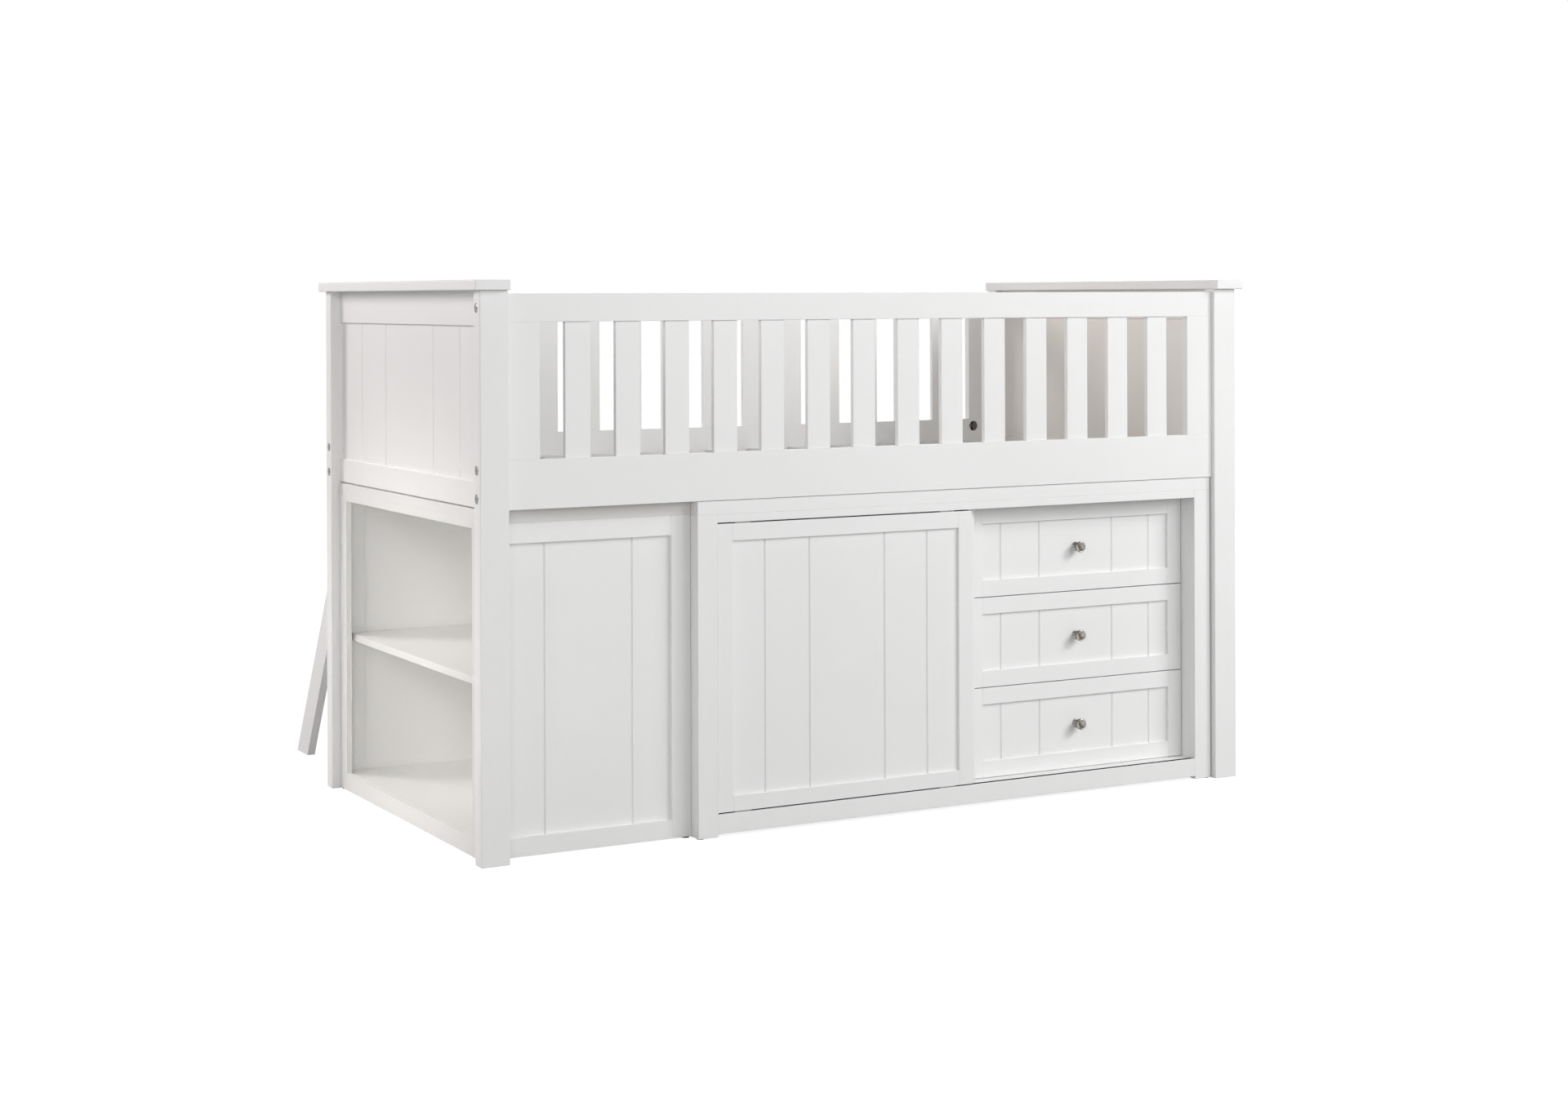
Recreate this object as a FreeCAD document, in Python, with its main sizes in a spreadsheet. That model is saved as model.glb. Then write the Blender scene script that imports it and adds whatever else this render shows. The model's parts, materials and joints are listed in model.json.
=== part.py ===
"""Low loft bed with an open bookcase and a long cabinet standing under it.

X runs along the bed from the left end, Y from the front face of the posts to the
back, and Z up from the floor. Pieces are placed in those coordinates, and each node
is then moved so that the origin is on the floor under the middle of the whole bed.
"""
import FreeCAD, Part
import math
import os
import re
import Sketcher

# Driving sizes, in millimetres, with counts and one angle in degrees.
SIZES = {
    # Whole bed
    "bed_length": 2000,
    "bed_width": 1002,
    # Posts and the caps across their tops
    "post_width": 65,
    "post_depth": 36,
    "post_height": 1207,
    "post_edge_radius": 2,
    "cap_thickness": 22,
    "cap_end_overhang": 15,
    "cap_side_overhang": 13,
    "cap_edge_radius": 2.5,
    # Eased edges of the smaller boards
    "edge_radius": 1,
    # End frames: two rails with a grooved panel let into them and the posts
    "end_rail_thickness": 20,
    "end_top_rail_height": 75,
    "end_bottom_rail_bottom": 746,
    "end_bottom_rail_height": 55,
    "end_panel_recess": 6,
    "end_inner_groove_share": 0.1645,
    "end_outer_groove_share": 0.3398,
    # Panels and their grooves
    "panel_thickness": 8,
    "panel_tongue": 5,
    "vee_width": 4.5,
    "vee_depth": 3.4,
    # Guards on the long sides
    "guard_setback": 11,
    "guard_thickness": 19,
    "guard_drop": 7,
    "guard_rail_height": 60,
    "guard_stile_width": 75,
    "side_rail_bottom": 743.5,
    "side_rail_height": 105.5,
    "guard_slat_thickness": 12,
    "guard_slat_recess": 4,
    "front_slat_width": 58.5,
    "front_slat_count": 14,
    "entry_width": 461,
    "back_first_stile_width": 76,
    "back_last_stile_width": 85,
    "back_slat_width": 58.5,
    "back_slat_count": 10,
    # Connector bolts through the posts and their half-moon nuts
    "bolt_radius": 3,
    "bolt_head_radius": 8.5,
    "bolt_head_thickness": 2,
    "bolt_recess_radius": 10,
    "bolt_recess_depth": 2.5,
    "bolt_socket_radius": 2.5,
    "bolt_socket_depth": 1.5,
    "bolt_past_nut": 8,
    "lower_bolt_rise": 25.5,
    "upper_bolt_rise": 85.5,
    "nut_distance": 70,
    "nut_bore_radius": 14,
    "nut_bore_depth": 15,
    "nut_fit": 0.3,
    "nut_thickness": 11,
    # Dowels that hold the end rails to the posts
    "dowel_radius": 4,
    "dowel_length": 40,
    "dowel_edge_distance": 16,
    # Bed base
    "cleat_depth": 20,
    "cleat_height": 25,
    "cleat_rise": 2.5,
    "cleat_end_gap": 100,
    "base_slat_thickness": 18,
    "base_slat_width": 70,
    "base_slat_count": 14,
    "base_slat_fit": 1,
    # Ladder
    "ladder_left": 85,
    "ladder_width": 420,
    "ladder_lean": 29,
    "ladder_reach": 472,
    "ladder_stile_depth": 73,
    "ladder_stile_thickness": 20,
    "tread_count": 3,
    "tread_depth": 92,
    "tread_thickness": 20,
    "tread_housing": 6,
    "hook_thickness": 3,
    "hook_plate_height": 75,
    "hook_plate_depth": 30,
    "hook_bar": 10,
    "hook_drop": 30,
    "hook_fit": 0.3,
    # Gap over the units and between them
    "stand_gap": 0.8,
    "unit_gap": 0.8,
    "sliding_fit": 0.3,
    # Bookcase
    "bookcase_setback": 20,
    "bookcase_depth": 494.4,
    "bookcase_near": 50,
    "bookcase_far_gap": 39,
    "bookcase_top_thickness": 24,
    "bookcase_edge_height": 31,
    "bookcase_face_thickness": 13,
    "bookcase_stile_width": 30.3,
    "bookcase_face_rail_height": 18,
    "bookcase_bottom_rail_height": 40,
    "bookcase_side_thickness": 20,
    "bookcase_side_setback": 1.5,
    "bookcase_front_stile_width": 55.5,
    "bookcase_rear_stile_width": 46.4,
    "bookcase_side_top_rail_height": 43.5,
    "bookcase_side_bottom_rail_height": 41,
    "bookcase_panel_recess": 9,
    "bookcase_groove_share": 0.2645,
    "bookcase_board_thickness": 18,
    "bookcase_back_thickness": 6,
    "bookcase_back_inset": 3.4,
    "bookcase_shelf_top": 379,
    "bookcase_shelf_thickness": 17,
    "bookcase_shelf_setback": 19,
    "bookcase_pin_inset": 34,
    "bookcase_glide_height": 3,
    "bookcase_glide_radius": 9,
    # Shelf pins
    "pin_radius": 2.5,
    "pin_depth": 8,
    "pin_length": 16,
    "shelf_fit": 0.5,
    # Cabinet carcass
    "cabinet_front": 15,
    "cabinet_depth": 460,
    "cabinet_end_gap": 3.5,
    "cabinet_top_thickness": 31,
    "cabinet_face_thickness": 20,
    "cabinet_left_stile_width": 49.3,
    "cabinet_right_stile_width": 47.5,
    "cabinet_top_rail_height": 18,
    "cabinet_bottom_rail_lift": 8,
    "cabinet_bottom_rail_height": 43,
    "cabinet_board_thickness": 18,
    "cabinet_back_thickness": 6,
    "cabinet_shelf_top": 380,
    "cabinet_shelf_setback": 45,
    "cabinet_pin_inset": 40,
    "cabinet_glide_height": 1.5,
    "cabinet_glide_radius": 8,
    "divider_thickness": 20,
    "divider_setback": 24,
    # Sliding door and its tracks
    "door_share": 0.5061,
    "door_side_gap": 1,
    "door_bottom_gap": 2.8,
    "door_top_gap": 3,
    "door_far_gap": 0.7,
    "door_setback": 2,
    "door_thickness": 20,
    "door_stile_width": 37,
    "door_bottom_rail_height": 34.5,
    "door_top_rail_height": 38.5,
    "door_panel_recess": 7,
    "door_inner_groove_share": 0.1659,
    "door_outer_groove_share": 0.3587,
    "track_width": 12,
    "track_depth": 9,
    "track_wall": 1.2,
    "guide_length": 40,
    "guide_inset": 45,
    # Drawers
    "drawer_setback": 53,
    "drawer_side_gap": 1.5,
    "drawer_bottom_gap": 1,
    "drawer_gap": 2,
    "drawer_top_gap": 2.5,
    "drawer_front_thickness": 20,
    "drawer_stile_width": 40,
    "drawer_rail_height": 39,
    "drawer_panel_recess": 7,
    "drawer_inner_groove_share": 0.1956,
    "drawer_outer_groove_share": 0.3985,
    "drawer_box_depth": 350,
    "drawer_box_height": 150,
    "drawer_box_rise": 22,
    "drawer_wall": 12,
    "drawer_floor_thickness": 6,
    # Drawer runners
    "runner_space": 12.7,
    "runner_height": 36,
    "runner_wall": 1.5,
    "runner_lip": 10,
    # Knobs
    "knob_flange_radius": 11,
    "knob_flange_thickness": 2.5,
    "knob_foot_radius": 7.5,
    "knob_neck_radius": 5,
    "knob_neck_distance": 10,
    "knob_head_radius": 13.5,
    "knob_head_half_thickness": 4.5,
    "knob_projection": 25,
}

# Sizes and places that follow from the driving ones.
DERIVED = {
    "right_post": "bed_length - post_width",
    "back_post": "bed_width - post_depth",
    "guard_inner": "guard_setback + guard_thickness",
    "back_guard_inner": "bed_width - guard_inner",
    "back_guard_outer": "bed_width - guard_setback",
    "side_rail_top": "side_rail_bottom + side_rail_height",
    "guard_top": "post_height - guard_drop",
    "guard_rail_bottom": "guard_top - guard_rail_height",
    "bolt_line": "guard_setback + guard_thickness / 2",
    "guard_bolt_height": "guard_top - guard_rail_height / 2",
    "upper_bolt_height": "side_rail_bottom + upper_bolt_rise",
    "lower_bolt_height": "side_rail_bottom + lower_bolt_rise",
    "end_rail_outer": "(post_width - end_rail_thickness) / 2",
    "end_rail_inner": "(post_width + end_rail_thickness) / 2",
    "end_top_rail_bottom": "post_height - end_top_rail_height",
    "end_bottom_rail_top": "end_bottom_rail_bottom + end_bottom_rail_height",
    "cleat_bottom": "side_rail_bottom + cleat_rise",
    "cleat_top": "cleat_bottom + cleat_height",
    "ladder_foot": "back_guard_outer + ladder_reach",
    "ladder_slope": "tan(ladder_lean)",
    "ladder_half_foot": "ladder_stile_depth / cos(ladder_lean) / 2",
    "tread_rise": "side_rail_top / (tread_count + 1)",
    "centre_x": "bed_length / 2",
    "centre_y": "(ladder_foot + ladder_half_foot - cap_side_overhang) / 2",
    "unit_top": "side_rail_bottom - stand_gap",
    "bookcase_rear": "bookcase_setback + bookcase_depth",
    "bookcase_far": "bed_width - bookcase_far_gap",
    "bookcase_near_inner": "bookcase_near + bookcase_side_thickness",
    "bookcase_far_inner": "bookcase_far - bookcase_side_thickness",
    "bookcase_face_rear": "bookcase_setback + bookcase_face_thickness",
    "bookcase_side_front": "bookcase_setback + bookcase_side_setback",
    "bookcase_side_top": "unit_top - bookcase_edge_height",
    "bookcase_top_underside": "unit_top - bookcase_top_thickness",
    "bookcase_base_top": "bookcase_glide_height + bookcase_bottom_rail_height",
    "bookcase_back_front": "bookcase_rear - bookcase_back_inset - bookcase_back_thickness",
    "bookcase_shelf_bottom": "bookcase_shelf_top - bookcase_shelf_thickness",
    "cabinet_left": "bookcase_rear + unit_gap",
    "cabinet_right": "right_post - cabinet_end_gap",
    "cabinet_rear": "cabinet_front + cabinet_depth",
    "cabinet_face_rear": "cabinet_front + cabinet_face_thickness",
    "cabinet_underside": "unit_top - cabinet_top_thickness",
    "cabinet_left_inner": "cabinet_left + cabinet_board_thickness",
    "cabinet_right_inner": "cabinet_right - cabinet_board_thickness",
    "cabinet_back_front": "cabinet_rear - cabinet_back_thickness",
    "opening_left": "cabinet_left + cabinet_left_stile_width",
    "opening_right": "cabinet_right - cabinet_right_stile_width",
    "opening_bottom": "cabinet_bottom_rail_lift + cabinet_bottom_rail_height",
    "opening_top": "cabinet_underside - cabinet_top_rail_height",
    "cabinet_base_bottom": "opening_bottom - cabinet_board_thickness",
    "cabinet_shelf_bottom": "cabinet_shelf_top - cabinet_board_thickness",
    "door_left": "opening_left + door_side_gap",
    "door_width": "(opening_right - opening_left) * door_share",
    "door_right": "door_left + door_width",
    "door_front": "cabinet_front + door_setback",
    "door_rear": "door_front + door_thickness",
    "door_bottom": "opening_bottom + door_bottom_gap",
    "door_top": "opening_top - door_top_gap",
    "track_front": "door_front + (door_thickness - track_width) / 2",
    "track_rear": "track_front + track_width",
    "divider_left": "door_right + door_far_gap",
    "divider_right": "divider_left + divider_thickness",
    "divider_front": "cabinet_front + divider_setback",
    "drawer_left": "divider_right + drawer_side_gap",
    "drawer_right": "opening_right - drawer_side_gap",
    "drawer_front": "cabinet_front + drawer_setback",
    "drawer_rear": "drawer_front + drawer_front_thickness",
    "drawer_gaps": "drawer_bottom_gap + 2 * drawer_gap + drawer_top_gap",
    "drawer_height": "(opening_top - opening_bottom - drawer_gaps) / 3",
    "drawer_pitch": "drawer_height + drawer_gap",
    "drawer_box_left": "divider_right + runner_space",
    "drawer_box_right": "opening_right - runner_space",
    "drawer_box_rear": "drawer_rear + drawer_box_depth",
    "drawer_panel_face": "drawer_front + drawer_panel_recess",
}

TURNS = {
    "x": FreeCAD.Rotation(FreeCAD.Vector(0, 1, 0), 90),
    "y": FreeCAD.Rotation(FreeCAD.Vector(1, 0, 0), -90),
    "z": FreeCAD.Rotation(),
}
WORD = re.compile(r"[a-z][a-z_]*")

doc = FreeCAD.newDocument("LoftBed")
sheet = doc.addObject("Spreadsheet::Sheet", "Sizes")
nodes = []


def fill_sheet():
    """Write every size into the sheet, each under its own alias."""
    rows = [(name, str(value)) for name, value in SIZES.items()]
    rows += [(name, "=" + formula) for name, formula in DERIVED.items()]
    for row, (name, text) in enumerate(rows, start=1):
        sheet.set(f"A{row}", name)
        sheet.set(f"B{row}", text)
        sheet.setAlias(f"B{row}", name)
    doc.recompute()


def bound(formula):
    """Point every size named in a formula at its cell."""

    def cell(found):
        word = found.group(0)
        return "Sizes." + word if word in SIZES or word in DERIVED else word

    return WORD.sub(cell, formula)


def board(name, low, high):
    """A squared board between its lowest and highest corners."""
    box = doc.addObject("Part::Box", name)
    for side, axis, start, end in zip(("Length", "Width", "Height"), "xyz", low, high):
        box.setExpression(side, bound(f"({end}) - ({start})"))
        box.setExpression(f"Placement.Base.{axis}", bound(start))
    return box


def eased(piece, radius="edge_radius"):
    """The same board with all its edges rounded."""
    doc.recompute([piece])
    rounded = doc.addObject("Part::Fillet", piece.Name + "_eased")
    rounded.Base = piece
    edges = range(1, len(piece.Shape.Edges) + 1)
    rounded.Edges = [(edge, SIZES[radius], SIZES[radius]) for edge in edges]
    return rounded


def plank(name, low, high, radius="edge_radius"):
    """A board with eased edges."""
    return eased(board(name, low, high), radius)


def rod(name, along, start, end, across, radius):
    """A round bar along one axis; across holds its places on the other two axes."""
    bar = doc.addObject("Part::Cylinder", name)
    bar.Placement = FreeCAD.Placement(FreeCAD.Vector(), TURNS[along])
    bar.setExpression("Radius", bound(radius))
    bar.setExpression("Height", bound(f"({end}) - ({start})"))
    others = [axis for axis in "xyz" if axis != along]
    for axis, place in zip([along] + others, [start] + list(across)):
        bar.setExpression(f"Placement.Base.{axis}", bound(place))
    return bar


def cut(piece, *tools):
    """The piece with each tool's space taken out of it."""
    for tool in tools:
        result = doc.addObject("Part::Cut", piece.Name + "_cut")
        result.Base = piece
        result.Tool = tool
        piece = result
    return piece


def fuse(name, pieces):
    """One solid from pieces that meet."""
    result = doc.addObject("Part::MultiFuse", name)
    result.Shapes = pieces
    return result


def plane(body, role):
    """One of a body's own origin planes."""
    return next(part for part in body.Origin.OriginFeatures if part.Role == role)


def profile(name, role, corners, length, place, reverse=False):
    """A body padded from a polygon whose corners are written as formulas."""
    body = doc.addObject("PartDesign::Body", name)
    sketch = body.newObject("Sketcher::SketchObject", name + "_outline")
    sketch.AttachmentSupport = (plane(body, role), [""])
    sketch.MapMode = "FlatFace"
    count = len(corners)
    turn = 2 * math.pi / count
    ring = [FreeCAD.Vector(math.cos(turn * at), math.sin(turn * at)) for at in range(count)]
    sketch.addGeometry([Part.LineSegment(ring[at], ring[(at + 1) % count]) for at in range(count)])
    for at in range(count):
        sketch.addConstraint(Sketcher.Constraint("Coincident", at, 2, (at + 1) % count, 1))
    for at, corner in enumerate(corners):
        for kind, axis, formula in zip(("DistanceX", "DistanceY"), (-2, -1), corner):
            if formula == "0":
                sketch.addConstraint(Sketcher.Constraint("PointOnObject", at, 1, axis))
            else:
                link = sketch.addConstraint(Sketcher.Constraint(kind, -1, 1, at, 1, 1.0))
                sketch.renameConstraint(link, f"{kind}{at}")
                sketch.setExpression(f"Constraints.{kind}{at}", bound(formula))
    pad = body.newObject("PartDesign::Pad", name + "_pad")
    pad.Profile = sketch
    pad.Reversed = reverse
    pad.setExpression("Length", bound(length))
    sketch.Visibility = False
    body.Tip = pad
    for axis, formula in zip("xyz", place):
        body.setExpression(f"Placement.Base.{axis}", bound(formula))
    return body


def grooved_panel(name, low, high, grooves, faces):
    """A thin panel with upright vee grooves in the face that looks along -y, +y, -x or +x."""
    along, across = (0, 1) if faces[1] == "y" else (1, 0)
    length = f"(({high[along]}) - ({low[along]}))"
    thick = "panel_thickness"
    near, far = ("0", thick) if faces[0] == "-" else (thick, "0")
    bottom = "vee_depth" if faces[0] == "-" else "panel_thickness - vee_depth"
    corners = [("0", near)]
    for groove in grooves:
        middle = f"{length} / 2 + {groove}"
        corners.append((f"{middle} - vee_width / 2", near))
        corners.append((middle, bottom))
        corners.append((f"{middle} + vee_width / 2", near))
    corners += [(length, near), (length, far), ("0", far)]
    if along == 1:
        corners = [(second, first) for first, second in corners]
    height = f"({high[2]}) - ({low[2]})"
    return profile(name, "XY_Plane", corners, height, low)


def board_joints(width, *shares):
    """Groove places either side of a panel's middle, as shares of its width."""
    places = [f"{share} * ({width})" for share in shares]
    return [f"-{place}" for place in reversed(places)] + places


def framed_panel(name, low, high, stiles, rails, recess, shares, faces="-y"):
    """Two stiles, two rails between them and a grooved panel let into all four."""
    x, y, z = zip(low, high)
    inner_x = (f"{x[0]} + {stiles[0]}", f"{x[1]} - {stiles[1]}")
    inner_z = (f"{z[0]} + {rails[0]}", f"{z[1]} - {rails[1]}")
    if faces == "-y":
        panel_y = (f"{y[0]} + {recess}", f"{y[0]} + {recess} + panel_thickness")
    else:
        panel_y = (f"{y[1]} - {recess} - panel_thickness", f"{y[1]} - {recess}")
    panel_low = (f"{inner_x[0]} - panel_tongue", panel_y[0], f"{inner_z[0]} - panel_tongue")
    panel_high = (f"{inner_x[1]} + panel_tongue", panel_y[1], f"{inner_z[1]} + panel_tongue")
    spans = {
        "left_stile": ((x[0], inner_x[0]), z),
        "right_stile": ((inner_x[1], x[1]), z),
        "bottom_rail": (inner_x, (z[0], inner_z[0])),
        "top_rail": (inner_x, (inner_z[1], z[1])),
    }
    frame = []
    for part, (wide, tall) in spans.items():
        member = plank(f"{name}_{part}", (wide[0], y[0], tall[0]), (wide[1], y[1], tall[1]))
        frame.append(cut(member, board(f"{name}_{part}_groove", panel_low, panel_high)))
    grooves = board_joints(f"({inner_x[1]}) - ({inner_x[0]})", *shares)
    panel = grooved_panel(f"{name}_infill", panel_low, panel_high, grooves, faces)
    return frame, panel


def node(label, pieces):
    """A named sub-part: its solids, moved so that the origin is under the bed's middle."""
    group = doc.addObject("Part::Compound", "node_" + label)
    group.Label = label
    group.Links = pieces
    group.setExpression("Placement.Base.x", bound("-centre_x"))
    group.setExpression("Placement.Base.y", bound("-centre_y"))
    nodes.append(group)


def at_end(end, low, high):
    """A span along the bed, measured from the left end or mirrored to the right end."""
    if end == "left":
        return low, high
    return f"bed_length - ({high})", f"bed_length - ({low})"


def at_row(row, low, high):
    """A span across the bed, measured from the front or mirrored to the back."""
    if row == "front":
        return low, high
    return f"bed_width - ({high})", f"bed_width - ({low})"


def bolt_heights(end, row):
    """Heights of the bolts at one post; the top rail stops short of the entry post."""
    heights = ["lower_bolt_height", "upper_bolt_height"]
    if (end, row) != ("left", "back"):
        heights.append("guard_bolt_height")
    return heights


def make_bolts():
    """Bolts and half-moon nuts, with the spaces that the posts and rails need for them."""
    bolts, nuts, post_tools, rail_tools = [], [], {}, {}
    for end in ("left", "right"):
        for row in ("front", "back"):
            for height in bolt_heights(end, row):
                name = f"{end}_{row}_{height}"
                line = at_row(row, "bolt_line", "bolt_line")[0]
                across = (line, height)
                tip = "post_width + nut_distance + bolt_past_nut"
                seat = "bolt_recess_depth - bolt_head_thickness"
                shank_x = at_end(end, "bolt_recess_depth", tip)
                head_x = at_end(end, seat, "bolt_recess_depth")
                socket_x = at_end(end, seat, f"{seat} + bolt_socket_depth")
                recess_x = at_end(end, "0", "bolt_recess_depth")
                shank = rod(name + "_shank", "x", *shank_x, across, "bolt_radius")
                head = rod(name + "_head", "x", *head_x, across, "bolt_head_radius")
                socket = rod(name + "_socket", "x", *socket_x, across, "bolt_socket_radius")
                bolts.append(cut(fuse(name + "_bolt", [shank, head]), socket))
                recess = rod(name + "_recess", "x", *recess_x, across, "bolt_recess_radius")
                bore = rod(name + "_bore", "x", *shank_x, across, "bolt_radius")
                post_tools.setdefault((end, row), []).extend([recess, bore])
                nut_x = at_end(end, "post_width + nut_distance", "post_width + nut_distance")[0]
                mouth = at_row(row, "guard_inner - nut_bore_depth", "guard_inner")
                pocket = rod(name + "_pocket", "y", *mouth, (nut_x, height), "nut_bore_radius")
                rail_tools.setdefault((row, height), []).extend([bore, pocket])
                body_y = at_row(row, "bolt_line - nut_thickness / 2", "bolt_line + nut_thickness / 2")
                nut = rod(name + "_nut", "y", *body_y, (nut_x, height), "nut_bore_radius - nut_fit")
                quarter = 90 if end == "left" else -90
                tilt = FreeCAD.Rotation(FreeCAD.Vector(0, 1, 0), quarter)
                nut.Placement = FreeCAD.Placement(FreeCAD.Vector(), tilt.multiply(TURNS["y"]))
                nut.Angle = 180
                nuts.append(cut(nut, bore))
    return bolts, nuts, post_tools, rail_tools


def make_ends(post_tools):
    """Posts, caps, end rails, end panels and the dowels between rails and posts."""
    dowels = []
    for end in ("left", "right"):
        rail_x = at_end(end, "end_rail_outer", "end_rail_inner")
        panel_x = at_end(end, "end_rail_outer + end_panel_recess",
                         "end_rail_outer + end_panel_recess + panel_thickness")
        panel_low = (panel_x[0], "post_depth - panel_tongue", "end_bottom_rail_top - panel_tongue")
        panel_high = (panel_x[1], "back_post + panel_tongue", "end_top_rail_bottom + panel_tongue")
        housing = board(f"{end}_panel_housing", panel_low, panel_high)
        rail_heights = {
            "top": ("end_top_rail_bottom", "post_height"),
            "bottom": ("end_bottom_rail_bottom", "end_bottom_rail_top"),
        }
        end_dowels = {"front": [], "back": []}
        rails = []
        for rail, (low, high) in rail_heights.items():
            rail_dowels = []
            for row in ("front", "back"):
                for spot in (f"{low} + dowel_edge_distance", f"{high} - dowel_edge_distance"):
                    y = at_row(row, "post_depth - dowel_length / 2", "post_depth + dowel_length / 2")
                    middle = f"({rail_x[0]} + {rail_x[1]}) / 2"
                    dowel = rod(f"{end}_{rail}_dowel", "y", *y, (middle, spot), "dowel_radius")
                    rail_dowels.append(dowel)
                    end_dowels[row].append(dowel)
            rail_piece = plank(f"{end}_{rail}_rail", (rail_x[0], "post_depth", low),
                               (rail_x[1], "back_post", high))
            rails.append(cut(rail_piece, housing, *rail_dowels))
        node(f"end_rails_{end}", rails)
        grooves = board_joints("back_post - post_depth",
                               "end_inner_groove_share", "end_outer_groove_share")
        faces = "-x" if end == "left" else "+x"
        panel = grooved_panel(f"{end}_end_panel", panel_low, panel_high, grooves, faces)
        node(f"end_panel_{end}", [panel])
        cap_x = at_end(end, "-cap_end_overhang", "post_width")
        cap = plank(f"{end}_cap", (cap_x[0], "-cap_side_overhang", "post_height"),
                    (cap_x[1], "bed_width + cap_side_overhang", "post_height + cap_thickness"),
                    "cap_edge_radius")
        node(f"cap_{end}", [cap])
        for row in ("front", "back"):
            post_x = at_end(end, "0", "post_width")
            post_y = at_row(row, "0", "post_depth")
            post = plank(f"{end}_{row}_post", (post_x[0], post_y[0], "0"),
                         (post_x[1], post_y[1], "post_height"), "post_edge_radius")
            tools = post_tools[(end, row)] + end_dowels[row] + [housing]
            node(f"post_{row}_{end}", [cut(post, *tools)])
            dowels += end_dowels[row]
    node("frame_dowels", dowels)


def long_rail(name, row, left, right, low, high, tools):
    """One rail along a side of the bed, with the bores for its bolts and nuts."""
    rail_y = at_row(row, "guard_setback", "guard_inner")
    rail = plank(name, (left, rail_y[0], low), (right, rail_y[1], high))
    return cut(rail, *tools)


def make_guard(row, first, first_stile, last_stile, slat_width, count, top_tools, side_tools):
    """Side rail, top rail, stiles and slats of the guard on one long side."""
    rail_y = at_row(row, "guard_setback", "guard_inner")
    side = long_rail(f"{row}_side_board", row, "post_width", "right_post",
                     "side_rail_bottom", "side_rail_top", side_tools)
    node(f"{row}_side_rail", [side])
    top = long_rail(f"{row}_top_board", row, first, "right_post",
                    "guard_rail_bottom", "guard_top", top_tools)
    left = (first, f"{first} + {first_stile}")
    right = (f"right_post - {last_stile}", "right_post")
    frame = [top]
    for side_name, (low, high) in {"first": left, "last": right}.items():
        stile = plank(f"{row}_{side_name}_stile", (low, rail_y[0], "side_rail_top"),
                      (high, rail_y[1], "guard_rail_bottom"))
        frame.append(stile)
    node(f"{row}_guard_frame", frame)
    slat_y = at_row(row, "guard_setback + guard_slat_recess",
                    "guard_setback + guard_slat_recess + guard_slat_thickness")
    span = f"(({right[0]}) - ({left[1]}))"
    gap = f"(({span} - {count} * {slat_width}) / ({count} + 1))"
    slats = []
    for at in range(int(SIZES[count])):
        low = f"{left[1]} + {gap} + {at} * ({slat_width} + {gap})"
        slats.append(plank(f"{row}_slat", (low, slat_y[0], "side_rail_top"),
                           (f"{low} + {slat_width}", slat_y[1], "guard_rail_bottom")))
    node(f"{row}_guard_slats", slats)


def make_sides(rail_tools):
    """The guards along the front and the back."""
    for row in ("front", "back"):
        top_tools = rail_tools[(row, "guard_bolt_height")]
        side_tools = rail_tools[(row, "lower_bolt_height")] + rail_tools[(row, "upper_bolt_height")]
        if row == "front":
            make_guard(row, "post_width", "guard_stile_width", "guard_stile_width",
                       "front_slat_width", "front_slat_count", top_tools, side_tools)
        else:
            make_guard(row, "(post_width + entry_width)", "back_first_stile_width",
                       "back_last_stile_width", "back_slat_width", "back_slat_count",
                       top_tools, side_tools)


def make_base():
    """Cleats on the side rails and the slats that lie across them."""
    cleats = []
    for row in ("front", "back"):
        y = at_row(row, "guard_inner", "guard_inner + cleat_depth")
        low = ("post_width + cleat_end_gap", y[0], "cleat_bottom")
        high = ("right_post - cleat_end_gap", y[1], "cleat_top")
        cleats.append(plank(f"{row}_cleat", low, high))
    node("slat_cleats", cleats)
    count = int(SIZES["base_slat_count"])
    span = "(right_post - post_width - 2 * cleat_end_gap - base_slat_width)"
    pitch = f"({span} / (base_slat_count - 1))"
    slats = []
    for at in range(count):
        x = f"post_width + cleat_end_gap + {at} * {pitch}"
        low = (x, "guard_inner + base_slat_fit", "cleat_top")
        high = (f"{x} + base_slat_width", "back_guard_inner - base_slat_fit",
                "cleat_top + base_slat_thickness")
        slats.append(plank("base_slat", low, high))
    node("base_slats", slats)


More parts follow.
